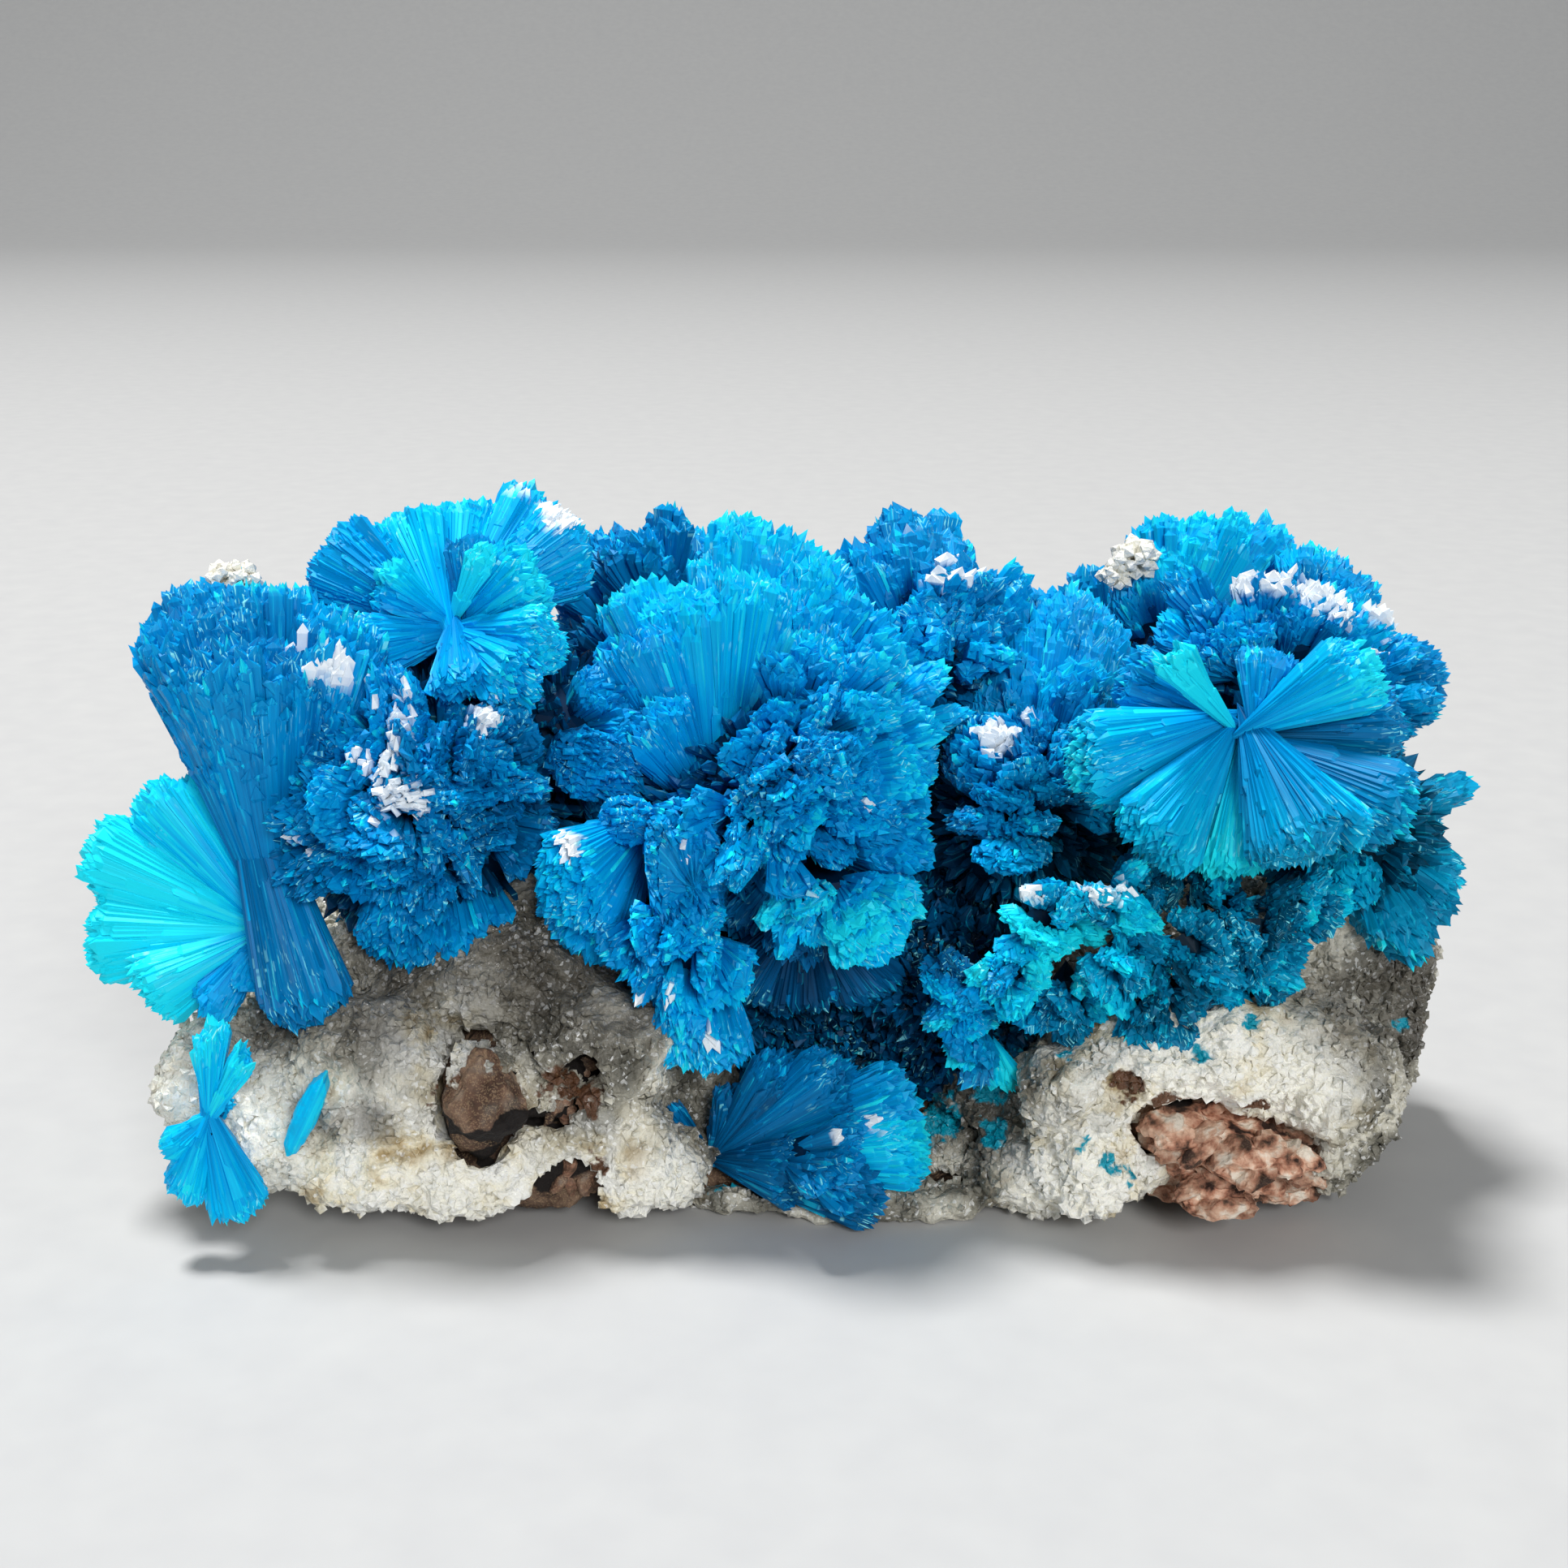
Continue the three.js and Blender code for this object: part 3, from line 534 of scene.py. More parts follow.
# Painted shade: darker brown-grey under the overhanging sprays and in the hollow.
underhang_shade = reckon(tree, "MULTIPLY", read_mark(tree, "underhang_shade"), 0.66)
colour = blend(tree, underhang_shade, colour, CRUST_UNDERHANG_SHADE)
for name, scale, edge, tint in CRUST_PATCHES:
    colour = blend(tree, patches(tree, read_mark(tree, name), scale, edge), colour, tint)
tree.links.new(colour, shader.inputs["Base Color"])
gloss = ramp(tree, noise(tree, 3800, 2), [(0.42, (0.62, 0.62, 0.62)), (0.62, (0.12, 0.12, 0.12))])
tree.links.new(gloss, shader.inputs["Roughness"])
shader.inputs["Subsurface Weight"].default_value = 0.12
shader.inputs["Subsurface Radius"].default_value = (1.0, 0.9, 0.7)
shader.inputs["Subsurface Scale"].default_value = 0.6 * MM
tree.links.new(raised(tree, noise(tree, 2200, 3), 0.35 * MM), shader.inputs["Normal"])


def mark_crust(mesh):
    points = mesh_points(mesh)
    for name, spots in CRUST_SPOTS.items():
        mark(mesh, name, nearness(points, spots))


crust = rough_copy("zeolite_crust", "zeolite_druse", CRUST_GRAIN, CRUST_RELIEFS)
mark_crust(crust.data)
crust.data.materials.append(zeolite_finish)
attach(crust, "root")
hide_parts("zeolite_crust")

# The scabs are crumbs of the same crust that cling to the rock inside the hollows.
SCABS = {
    "areas": [((-13.4, 7.6), (-10.8, 11)), ((-17.2, 9.8), (-12.6, 11)), ((7.4, 1.4), (11.2, 8.6))],
    "step": 0.55,
    "sizes": (0.35, 0.75),
    "flatness": (1, 1, 1),
    "tones": (0, 1),
    "fineness": 2,
    "seed": 21,
}
scabs = mesh_piece("zeolite_scabs", *crumbs_in_hollow(**SCABS)[:2])
mark_crust(scabs.data)
scabs.data.materials.append(zeolite_finish)
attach(scabs, "root")
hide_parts("zeolite_crust")

# The skin of the crust is a sparkle of stubby pointed crystals, rooted in the lumps and standing out
# of them at all angles.
GRAINS = 13000
SCAB_GRAINS = 1400
GRAIN_SHOULDER = 0.6
GRAIN_LENGTHS = (0.35, 0.75)
GRAIN_WIDTHS = (0.3, 0.65)
GRAIN_LEAN = 0.35
GRAIN_ROOT = 0.25 * MM
GRAIN_SHADE = 3 * MM
GRAIN_LIFT = 0.3 * MM
GRAIN_LOWEST = 0.6 * MM
GRAIN_DOWNWARD = -0.8


def crystal_model(shoulder):
    """One crystal, a unit long and a unit wide: four sides that widen from the root
    to the shoulder, then a point. Returns its corners and its triangles."""
    bpy.ops.object.select_all(action="DESELECT")
    bpy.ops.mesh.primitive_cone_add(
        vertices=4,
        radius1=math.sqrt(0.5),
        radius2=0,
        depth=1 - shoulder,
        end_fill_type="TRIFAN",
        location=(0, 0, (1 + shoulder) / 2),
        rotation=(0, 0, math.pi / 4),
    )
    crystal = bpy.context.active_object
    bpy.ops.object.transform_apply(location=True, rotation=True, scale=True)
    mesh = crystal.data
    bpy.ops.object.mode_set(mode="EDIT")
    bpy.ops.mesh.select_mode(type="VERT")
    bpy.ops.mesh.select_all(action="DESELECT")
    bpy.ops.object.mode_set(mode="OBJECT")
    for vertex in mesh.vertices:
        vertex.select = math.hypot(vertex.co.x, vertex.co.y) < 0.1 and vertex.co.z < (1 + shoulder) / 2
    bpy.ops.object.mode_set(mode="EDIT")
    bpy.ops.transform.translate(value=(0, 0, -shoulder))
    bpy.ops.mesh.select_all(action="SELECT")
    bpy.ops.mesh.normals_make_consistent(inside=False)
    bpy.ops.object.mode_set(mode="OBJECT")
    points = mesh_points(mesh)
    triangles = np.array([tuple(face.vertices) for face in mesh.polygons])
    bpy.data.objects.remove(crystal)
    return points, triangles


def unit(vectors):
    return vectors / np.maximum(np.linalg.norm(vectors, axis=-1, keepdims=True), 1e-12)


def grow(model, roots, ways, sides, widths, depths, skews=0.0, tips=None):
    """Copies of a crystal model, each from its root along its way, with its width along its side. Its
    point stands off its middle by skews widths, and is tips long."""
    points, triangles = model
    throughs = unit(np.cross(ways, sides))
    skewed = points[None, :, 0:1] + (points[None, :, 2:3] > 0.999) * np.reshape(skews, (-1, 1, 1))
    heights = np.tile(points[:, 2], (len(roots), 1))
    if tips is not None:
        shoulders = 1 - tips / np.linalg.norm(ways, axis=1)
        heights = np.where((heights > 0.01) & (heights < 0.999), shoulders[:, None], heights)
    grown = (
        roots[:, None, :]
        + heights[:, :, None] * ways[:, None, :]
        + skewed * (widths[:, None] * sides)[:, None, :]
        + points[None, :, 1:2] * (depths[:, None] * throughs)[:, None, :]
    )
    steps = np.arange(len(roots))[:, None, None] * len(points)
    return grown.reshape(-1, 3), (triangles[None] + steps).reshape(-1, 3)


def open_faces(piece, count, blockers, dice):
    """The centres and normals of up to count faces of a piece, drawn at random, that nothing covers."""
    faces = piece.data.polygons
    centres = np.array([tuple(face.center) for face in faces])
    normals = np.array([tuple(face.normal) for face in faces])
    trees = [tree_of(blocker) for blocker in blockers]
    chosen = []
    for k in dice.permutation(len(centres)):
        start = Vector(centres[k] + GRAIN_LIFT * normals[k])
        way = Vector(normals[k])
        covered = any(tree.ray_cast(start, way, GRAIN_SHADE)[0] for tree in trees)
        if not covered and centres[k][2] > GRAIN_LOWEST and way.z > GRAIN_DOWNWARD:
            chosen.append(k)
        if len(chosen) == count:
            break
    return centres[chosen], normals[chosen]


grain_dice = np.random.default_rng(5)
cover = [crust, basalt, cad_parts["cavansite_cluster"]]
seats, outward = open_faces(crust, GRAINS, cover, grain_dice)
scab_seats, scab_outward = open_faces(scabs, SCAB_GRAINS, [scabs, knob], grain_dice)
seats, outward = np.vstack((seats, scab_seats)), np.vstack((outward, scab_outward))
lean = unit(outward + grain_dice.normal(0, GRAIN_LEAN, outward.shape))
grain_points, grain_triangles = grow(
    crystal_model(GRAIN_SHOULDER),
    seats - GRAIN_ROOT * lean,
    lean * grain_dice.uniform(*GRAIN_LENGTHS, len(seats))[:, None] * MM,
    unit(np.cross(lean, grain_dice.normal(0, 1, lean.shape))),
    grain_dice.uniform(*GRAIN_WIDTHS, len(seats)) * MM,
    grain_dice.uniform(*GRAIN_WIDTHS, len(seats)) * MM,
)
grains = mesh_piece("zeolite_grains", grain_points, grain_triangles)
mark_crust(grains.data)
grains.data.materials.append(zeolite_finish)
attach(grains, "root")
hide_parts("zeolite_crust")

# The crown crystals are two knots of stubby white crystals that sit up among the blades on the top.
CROWN_SPOTS = [
    ((19.3, 2.4, 32.2), 1.7), ((18.2, 2, 31.4), 1.2), ((-27.2, -8, 33.2), 1.2), ((-28.2, -8.2, 33.2), 1.1),
]
CROWN_CRYSTALS = 26
CROWN_SHOULDER = 0.75
CROWN_ROUND = 1.6
CROWN_STRAY = 0.2
CROWN_WHITE = 0.9
GOLDEN_TURN = math.pi * (3 - math.sqrt(5))


def disc(turns, spreads):
    return np.stack((np.cos(turns) * spreads, np.sin(turns) * spreads), axis=1)


crown_dice = np.random.default_rng(12)
crown_order = np.arange(CROWN_CRYSTALS) + 0.5
crown_up = 1 - CROWN_ROUND * crown_order / CROWN_CRYSTALS
crown_ways = np.column_stack((disc(crown_order * GOLDEN_TURN, np.sqrt(1 - crown_up**2)), crown_up))
crown_parts = []
for spot, length in CROWN_SPOTS:
    ways = unit(crown_ways + crown_dice.normal(0, CROWN_STRAY, crown_ways.shape))
    lengths = length * crown_dice.uniform(0.7, 1, CROWN_CRYSTALS) * MM
    widths = 0.5 * lengths * crown_dice.uniform(0.7, 1.1, CROWN_CRYSTALS)
    sides = unit(np.cross(ways, crown_dice.normal(0, 1, ways.shape)))
    roots = np.tile(np.array(spot) * MM, (CROWN_CRYSTALS, 1))
    model = crystal_model(CROWN_SHOULDER)
    crown_parts.append(grow(model, roots, ways * lengths[:, None], sides, widths, widths))
crown = mesh_piece("zeolite_crown", *joined(crown_parts))
mark_crust(crown.data)
crown_white = np.full(len(crown.data.vertices), CROWN_WHITE, np.float32)
crown.data.attributes["white"].data.foreach_set("value", crown_white)
crown.data.materials.append(zeolite_finish)
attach(crown, "root")
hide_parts("zeolite_crust")

# Cavansite grows as sprays: flat blue blades by the hundred spread from one heart. They are deep blue in
# the shade, with painted shade at the heart and a painted glow that makes them pale at the edges, silky
# with fine streaks, lit with painted glints, teal at the lower right, and white with painted highlights at
# some of their ends.
STRIPE = 0.04 / MM
TEAL_RIGHT_OF = 8 * MM
TEAL_BELOW = 28 * MM
TEAL_EDGE = 7 * MM
# Spots near which some blade ends are painted white: painted highlights, the glare off their faces.
WHITE_GLINT_SPOTS = [
    (-13.9, -2.2, 36.5, 1.6), (-11.3, -2.8, 36.2, 1.8), (-16, -2, 34, 1), (-16.5, -7.5, 32, 1),
    (-24, -11.5, 31.5, 1.1), (-21.5, -13, 30, 2), (-18.5, -14, 28.5, 2), (-19, -15, 27, 1.8),
    (-20, -15.5, 26, 2), (-18.5, -16.5, 24, 2.4), (-14.8, -13, 27.5, 1.5), (-24.5, -14, 21, 1.3),
    (-10.9, -15.2, 21.6, 1.4), (-4.6, -16, 20.8, 1.3), (2.1, -17.8, 19.8, 1.4), (2.9, -17.6, 19.1, 1.3),
    (5.3, -13.9, 22.8, 1.2), (6.2, -13.5, 22.5, 1.3), (-7, -16.8, 13.1, 1.5), (-5.4, -16.9, 13.6, 1.6),
    (-6.5, -17.6, 15.3, 1.2), (-4.2, -17.6, 16.2, 1.1), (-3.5, -16, 11, 1), (9.4, -4.8, 33.6, 1.6),
    (8.4, -3.8, 33.8, 1.4), (7.7, -5.6, 33.3, 1.3), (7.1, -1.3, 35.1, 1.3), (12, -8.1, 27.5, 1.9),
    (13.3, -7.1, 27.7, 1.6), (10.8, -9.9, 25.9, 1.7), (15, -16.7, 19.8, 1.5), (16.2, -16.5, 19.9, 1.4),
    (11.7, -15.5, 19.2, 1.3), (20.3, -4.5, 31.8, 1.6), (21.7, -4.1, 32.4, 1.7), (23.4, -3.9, 32.7, 1.8),
    (25.5, -3.8, 32.6, 1.7), (27.6, -4, 32.2, 1.5), (27.8, -5.5, 31.4, 1.6), (29.6, -4.3, 31.3, 2),
    (31.3, -3.8, 30.8, 1.8), (32.1, -4.3, 29.4, 1.7), (23.8, -11.3, 29.1, 1.5), (3, -16.4, 6.8, 0.9),
    (5.1, -14.2, 6.2, 1),
]
# The share of light, the blue there and the teal that takes its place at the lower right.
BLUES = [
    (0.28, (0.0, 0.014, 0.045), (0.0, 0.012, 0.026)),
    (0.48, (0.0, 0.09, 0.24), (0.0, 0.075, 0.15)),
    (0.66, (0.0, 0.21, 0.52), (0.0, 0.19, 0.37)),
    (0.82, (0.0, 0.37, 0.78), (0.0, 0.36, 0.61)),
    (0.93, (0.0, 0.55, 0.90), (0.0, 0.55, 0.79)),
    (1.0, (0.01, 0.76, 0.92), (0.01, 0.76, 0.86)),
]
# Painted light along a blade by its height mark: painted shade at the heart, a painted glow towards the
# ends.
HEART_SHADE_EDGE_GLOW = ((0, 0.12), (0.3, 0.34), (0.7, 0.47), (0.93, 0.54), (1, 0.62))
GLINT = (0.02, 0.76, 0.93)
GLINT_STROKE = (0.30, 0.96, 1.0)
WHITE_GLINT = (0.95, 0.98, 1.0)
WHITE_GLINT_CHANCES = (0.2, 0.9)
WHITE_GLINT_FULL = 0.95

cavansite_finish, tree, shader = finish_of("cavansite")


def on_blade(stretch):
    """The place on a blade: across it, and along it stretched."""
    place = tree.nodes.new("ShaderNodeCombineXYZ")
    tree.links.new(read_mark(tree, "across"), place.inputs["X"])
    tree.links.new(reckon(tree, "MULTIPLY", read_mark(tree, "along"), stretch), place.inputs["Y"])
    return place.outputs["Vector"]


streaks = noise(tree, 5.5, 3, on_blade(1))
height = read_mark(tree, "height")
heart_shade_edge_glow = tree.nodes.new("ShaderNodeFloatCurve")
curve = heart_shade_edge_glow.mapping.curves[0]
for place in HEART_SHADE_EDGE_GLOW:
    curve.points.new(*place)
curve.points.remove(curve.points[0])
curve.points.remove(curve.points[-1])
tree.links.new(height, heart_shade_edge_glow.inputs["Value"])
lifted = reckon(tree, "MULTIPLY_ADD", heart_shade_edge_glow.outputs["Value"], 0.5, read_mark(tree, "tone"))
shade = reckon(tree, "MULTIPLY_ADD", streaks, 0.34, reckon(tree, "SUBTRACT", lifted, 0.11))
blue = ramp(tree, shade, [(at, colour) for at, colour, _ in BLUES])
teal = ramp(tree, shade, [(at, colour) for at, _, colour in BLUES])
spot = tree.nodes.new("ShaderNodeSeparateXYZ").outputs
tree.links.new(tree.nodes.new("ShaderNodeTexCoord").outputs["Object"], spot["X"].node.inputs["Vector"])
rightward = reckon(tree, "MULTIPLY_ADD", spot["X"], 1 / TEAL_EDGE, -TEAL_RIGHT_OF / TEAL_EDGE, clamped=True)
downward = reckon(tree, "MULTIPLY_ADD", spot["Z"], -1 / TEAL_EDGE, TEAL_BELOW / TEAL_EDGE, clamped=True)
blue = blend(tree, reckon(tree, "MULTIPLY", rightward, downward), blue, teal)
glints = ramp(tree, streaks, [(0.6, (0, 0, 0)), (0.68, (0.55, 0.55, 0.55))])
glints = reckon(tree, "MULTIPLY", glints, height)
blue = blend(tree, glints, blue, GLINT)
# Painted glints: short bright strokes, in clusters, on the upper parts of the blades.
glint_strokes = ramp(tree, noise(tree, 9, 2, on_blade(2.5)), [(0.6, (0, 0, 0)), (0.64, (1, 1, 1))])
clusters = ramp(tree, noise(tree, 330, 4), [(0.5, (0, 0, 0)), (0.55, (1, 1, 1))])
upper = reckon(tree, "MULTIPLY_ADD", height, 3, -1.9, clamped=True)
glint_strokes = reckon(tree, "MULTIPLY", reckon(tree, "MULTIPLY", glint_strokes, clusters), upper)
blue = blend(tree, glint_strokes, blue, GLINT_STROKE)
# White painted highlights on the blade ends marked near those spots.
ends = reckon(tree, "MULTIPLY", reckon(tree, "SUBTRACT", height, 0.8), 14, clamped=True)
whiteness = reckon(tree, "MULTIPLY", ends, read_mark(tree, "white_glint"))
tree.links.new(blend(tree, whiteness, blue, WHITE_GLINT), shader.inputs["Base Color"])
shader.inputs["Roughness"].default_value = 0.42
shader.inputs["Specular IOR Level"].default_value = 0.11
tree.links.new(raised(tree, streaks, 0.05 * MM), shader.inputs["Normal"])

# The left shoulder is the broad blunt sheaf of the upper left corner, its top a rough crust of blade
# ends. Its blades stand PITCH apart, in bundles that end at their own heights. A fan up to FLAT_FAN
# degrees thick is made flat, a thicker one as a lobe of tufts, and blades buried DEEP are left out.
PITCH = 0.4 * MM
BUNDLE = 45
BUNDLE_STRAY = 0.1
BUNDLE_OVER = 0.02
BUNDLE_TONE = 0.04
BLADE_TONE = 0.02
BLADE_WIDTHS = (1.2, 2)
BLADE_DEPTHS = (0.6, 0.9)
SHOULDER = 0.95
POINT_LENGTHS = (0.6, 2.2)
# A share of thin blades, narrower, a little longer and paler at the top: painted glints.
THIN_ONES = 0.06
THIN_OVER = 0.015
THIN_BY = 0.6
THIN_GLINT_TONE = 0.25
DEEP = 1.8 * MM
BLADES_LOWEST = 0.3 * MM
# How a fan is turned and set back, and by how much a loose one strays.
FLAT_FAN = 15
TWIST = 0.28
HEAD_ON = 0.35
WAIST = 0.14
STRAY = np.array((0.35, 0.5, 0.3)) * MM
PEAK = 0.05
# The grown-together body inside a fan, as shares of its length and breadth.
BODY = 0.88
BODY_RIMS = (14, 60)
BODY_RINGS = (2, 5)
BODY_LENGTHS = (0.965, 1.015)
BODY_SHADE = 0.03
FLUTE = 0.95
FLUTE_TONE = 0.04
# The crowd of blade ends on the cap of a fan.
CAP = 0.95
CAP_CROWD = 0.7
CAP_STRAY = 0.45
CAP_LOWS = (0.3, 0.5)
CAP_HIGHS = (0.965, 1.01)
CAP_ROLL = 0.3
# The skirts of blades round the side of a fan, some of them short ones.
RIM_CROWD = 0.6
RIM_SPLAY = 1.01
RIM_ROLL = 0.1
SKIRT_INSET = 0.08
SKIRT_SPREADS = (0.985, 1.005)
SKIRT_LOW = 0.06
SKIRT_HIGHS = (0.94, 0.99)
SKIRT_RISE = 0.02
SHORT_ONES = 0.3
SHORT_BY = 0.4
SHORT_OUT = 0.015
# The scales that stand out of the side near the top.
SCALE_TOPS = (0.66, 0.98)
SCALE_LENGTHS = (0.12, 0.25)
SCALE_SPLAY = 1.13
SCALE_SPREADS = (0.9, 0.97)
# The tufts of a lobe, and its dark core, whose low tone paints the shade deep between the tufts and in the
# knots.
TUFT = 1.95 * MM
TUFTS = (7, 26)
TUFT_PEAK = 0.1
TUFT_SPREAD = 0.85
TUFT_ROOT = 0.45
TUFT_TOPS = (0.84, 1.04)
TUFT_STRAY = 0.1
TUFT_OVERLAP = 1.75
TUFT_THICKNESS = (0.18, 0.4)
LOBE_CORE = 0.62
LOBE_TONES = (-0.07, 0.07)
CORE_SHADE_TONE = 0.0
# The knot where the fans of a rosette meet, in millimetres.
SMALL_KNOT = 3
KNOT_SHADE = 0.25
KNOT_CELL = 0.3
KNOT_STRAY = 0.2
KNOT_LENGTHS = (0.55, 0.85)
BLADE = crystal_model(SHOULDER)
MINERALS = ("cavansite_cluster", "zeolite_crust", "basalt_base")
SOLID_TREES = [tree_of(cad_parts[name]) for name in MINERALS]


class Fan:
    """The cone that a fan of blades fills: its heart, axis, sideways and frontward directions."""

    def __init__(self, heart, tip, wide, thin, across=None):
        self.heart = np.array(heart) * MM
        self.wide = wide
        self.thin = thin
        axis = np.array(tip) * MM - self.heart
        self.reach = np.linalg.norm(axis)
        self.axis = axis / self.reach
        side = np.cross((0, 1, 0.3), self.axis) if across is None else np.array(across, float)
        if np.linalg.norm(side) < HEAD_ON:
            side = np.array((1.0, 0, 0))
        self.side = unit(side - self.axis * (side @ self.axis))
        self.front = np.cross(self.axis, self.side)

    def twist(self, angle):
        """Turns the flat of the fan about its axis."""
        self.side = math.cos(angle) * self.side + math.sin(angle) * self.front
        self.front = np.cross(self.axis, self.side)

    def set_back(self, share):
        """Moves the heart of the fan back along its axis, so that its waist isn't a point."""
        self.heart = self.heart - share * self.reach * self.axis
        self.reach *= 1 + share
        self.wide /= 1 + share
        self.thin /= 1 + share

    def half_sizes(self):
        return [self.reach * math.sin(math.radians(angle)) for angle in (self.wide, self.thin)]

    def girth(self):
        """About how far it is round the rim."""
        return 2 * math.pi * math.hypot(*self.half_sizes()) / math.sqrt(2)

    def ways(self, spots):
        """Directions from the heart to spots of the cap, which is a disc of radius 1."""
        turned = spots * (self.wide, self.thin)
        tilt = np.radians(np.hypot(turned[:, 0], turned[:, 1]))[:, None]
        round_it = np.arctan2(turned[:, 1], turned[:, 0])[:, None]
        sideways = np.cos(round_it) * self.side + np.sin(round_it) * self.front
        return np.cos(tilt) * self.axis + np.sin(tilt) * sideways


def lobe_fans(fan, dice):
    """The small fans, each turned its own way, that crowd into the rounded cap of a lobe."""
    half_wide, half_thin = fan.half_sizes()
    count = int(np.clip(math.pi * half_wide * half_thin / TUFT**2, *TUFTS))
    order = np.arange(count)
    spots = disc(order * GOLDEN_TURN + dice.uniform(0, 6), TUFT_SPREAD * np.sqrt((order + 0.5) / count))
    spots += dice.normal(0, TUFT_STRAY, spots.shape)
    lay = dice.normal(0, 1, 3)
    small = []
    for spot in spots:
        low = fan.heart + TUFT_ROOT * fan.reach * fan.ways(0.6 * spot[None])[0]
        high = fan.heart + fan.reach * dice.uniform(*TUFT_TOPS) * fan.ways(1.05 * spot[None])[0]
        high += dice.normal(0, TUFT_STRAY, 3) * np.linalg.norm(high - low)
        cell = TUFT_OVERLAP * math.sqrt(half_wide * half_thin / count) * dice.uniform(0.75, 1.2)
        wide = math.degrees(math.atan(cell / np.linalg.norm(high - low)))
        across = lay + dice.normal(0, 0.5, 3)
        small.append(Fan(low / MM, high / MM, wide, wide * dice.uniform(*TUFT_THICKNESS), across))
    return small


def fan_blades(fan, tone, dice, coarse=1.0, skirts=2, scales=0, ragged=0.12, peak=PEAK):
    """The blades of one fan, grown into each other: skirts round its side, scales that stand out of
    the side near the top, and a crowd of ends on its cap, in bundles that end at their own heights.
    The blades of the rim are shorter than the middle ones by the peak."""
    pitch = PITCH * coarse
    half_wide, half_thin = fan.half_sizes()
    ends = max(8, int(math.pi * half_wide * half_thin / (CAP_CROWD * pitch**2)))
    rim = max(12, int(fan.girth() / (RIM_CROWD * pitch)))
    order = np.arange(ends)
    cap = disc(order * GOLDEN_TURN, CAP * np.sqrt((order + 0.5) / ends))
    cap += dice.normal(0, CAP_STRAY * pitch, cap.shape) / (half_wide, half_thin)
    spots, lows, highs = [cap], [dice.uniform(*CAP_LOWS, ends)], [dice.uniform(*CAP_HIGHS, ends)]
    for skirt in range(skirts):
        turns = (np.arange(rim) + dice.uniform(-0.5, 0.5, rim)) * 2 * math.pi / rim
        short = dice.uniform(0, 1, rim) < SHORT_ONES
        spread = 1 - SKIRT_INSET * skirt + SHORT_OUT * short
        spots.append(disc(turns, spread * dice.uniform(*SKIRT_SPREADS, rim)))
        lows.append(dice.uniform(0, SKIRT_LOW * (1 + skirt), rim))
        full = dice.uniform(*SKIRT_HIGHS, rim) + SKIRT_RISE * skirt
        highs.append(full - short * dice.uniform(0, SHORT_BY, rim))
    for _ in range(scales):
        top = dice.uniform(*SCALE_TOPS, rim)
        spots.append(disc(dice.uniform(0, 2 * math.pi, rim), dice.uniform(*SCALE_SPREADS, rim)))
        lows.append(top - dice.uniform(*SCALE_LENGTHS, rim))
        highs.append(top)
    spots, lows, highs = (np.concatenate(column) for column in (spots, lows, highs))
    in_rim = np.arange(len(spots)) < len(spots) - scales * rim
    splay = np.where(in_rim, RIM_SPLAY, SCALE_SPLAY)[:, None]

    bundles = max(3, ends // BUNDLE)
    order = np.arange(bundles)
    centres = disc(order * GOLDEN_TURN + dice.uniform(0, 6), CAP * np.sqrt((order + 0.5) / bundles))
    centres += dice.normal(0, BUNDLE_STRAY, centres.shape)
    away = np.linalg.norm((spots[:, None] - centres[None]) * (half_wide, half_thin), axis=2)
    bundle = away.argmin(axis=1)
    highs += dice.uniform(-ragged, BUNDLE_OVER, bundles)[bundle]
    highs -= peak * (spots**2).sum(axis=1)

    roots = fan.heart + fan.reach * lows[:, None] * fan.ways(spots)
    tips = fan.heart + fan.reach * highs[:, None] * fan.ways(spots * splay)
    ways = tips - roots
    round_it = unit(np.cross(unit(ways), fan.axis) + 1e-6 * fan.side)
    flat = unit(np.cross(fan.front, unit(ways)))
    sides = np.where(np.arange(len(spots))[:, None] < ends, flat, round_it)
    through = unit(np.cross(unit(ways), sides))
    roll = dice.normal(0, 1, len(spots)) * np.where(np.arange(len(spots)) < ends, CAP_ROLL, RIM_ROLL)
    roll = roll[:, None]
    sides = np.cos(roll) * sides + np.sin(roll) * through
    widths = pitch * dice.uniform(*BLADE_WIDTHS, len(spots))
    depths = pitch * dice.uniform(*BLADE_DEPTHS, len(spots))
    bundle_tones = dice.uniform(-BUNDLE_TONE, BUNDLE_TONE, bundles)
    tones = tone + bundle_tones[bundle] + dice.normal(0, BLADE_TONE, len(spots))
    return roots, ways, sides, widths, depths, tones, lows, highs


def knot_blades(heart, knot, tone, dice):
    """Short blades that stand out all round the knot where the fans of a rosette meet."""
    count = int(4 * math.pi * knot**2 / KNOT_CELL)
    order = np.arange(count) + 0.5
    height = 1 - 2 * order / count
    flat = disc(order * GOLDEN_TURN, np.sqrt(1 - height**2))
    ways = np.column_stack((flat, height)) + dice.normal(0, KNOT_STRAY, (count, 3))
    ways = unit(ways) * (knot * MM * dice.uniform(*KNOT_LENGTHS, count))[:, None]
    roots = np.array(heart) * MM + 0.5 * ways
    sides = unit(np.cross(ways, dice.normal(0, 1, ways.shape)))
    widths = PITCH * dice.uniform(*BLADE_WIDTHS, count)
    tones = tone + dice.normal(0, 0.05, count)
    return roots, ways, sides, widths, 0.5 * widths, tones, np.full(count, 0.3), np.full(count, 0.8)


def buried(points, deep):
    """Which points lie deeper than deep inside the solids of the cluster, the crust or the rock."""
    inside = np.zeros(len(points), bool)
    for k, point in enumerate(points):
        for tree in SOLID_TREES:
            near, normal, _, away = tree.find_nearest(Vector(point))
            if away > deep and (Vector(point) - near).dot(normal) < 0:
                inside[k] = True
                break
    return inside


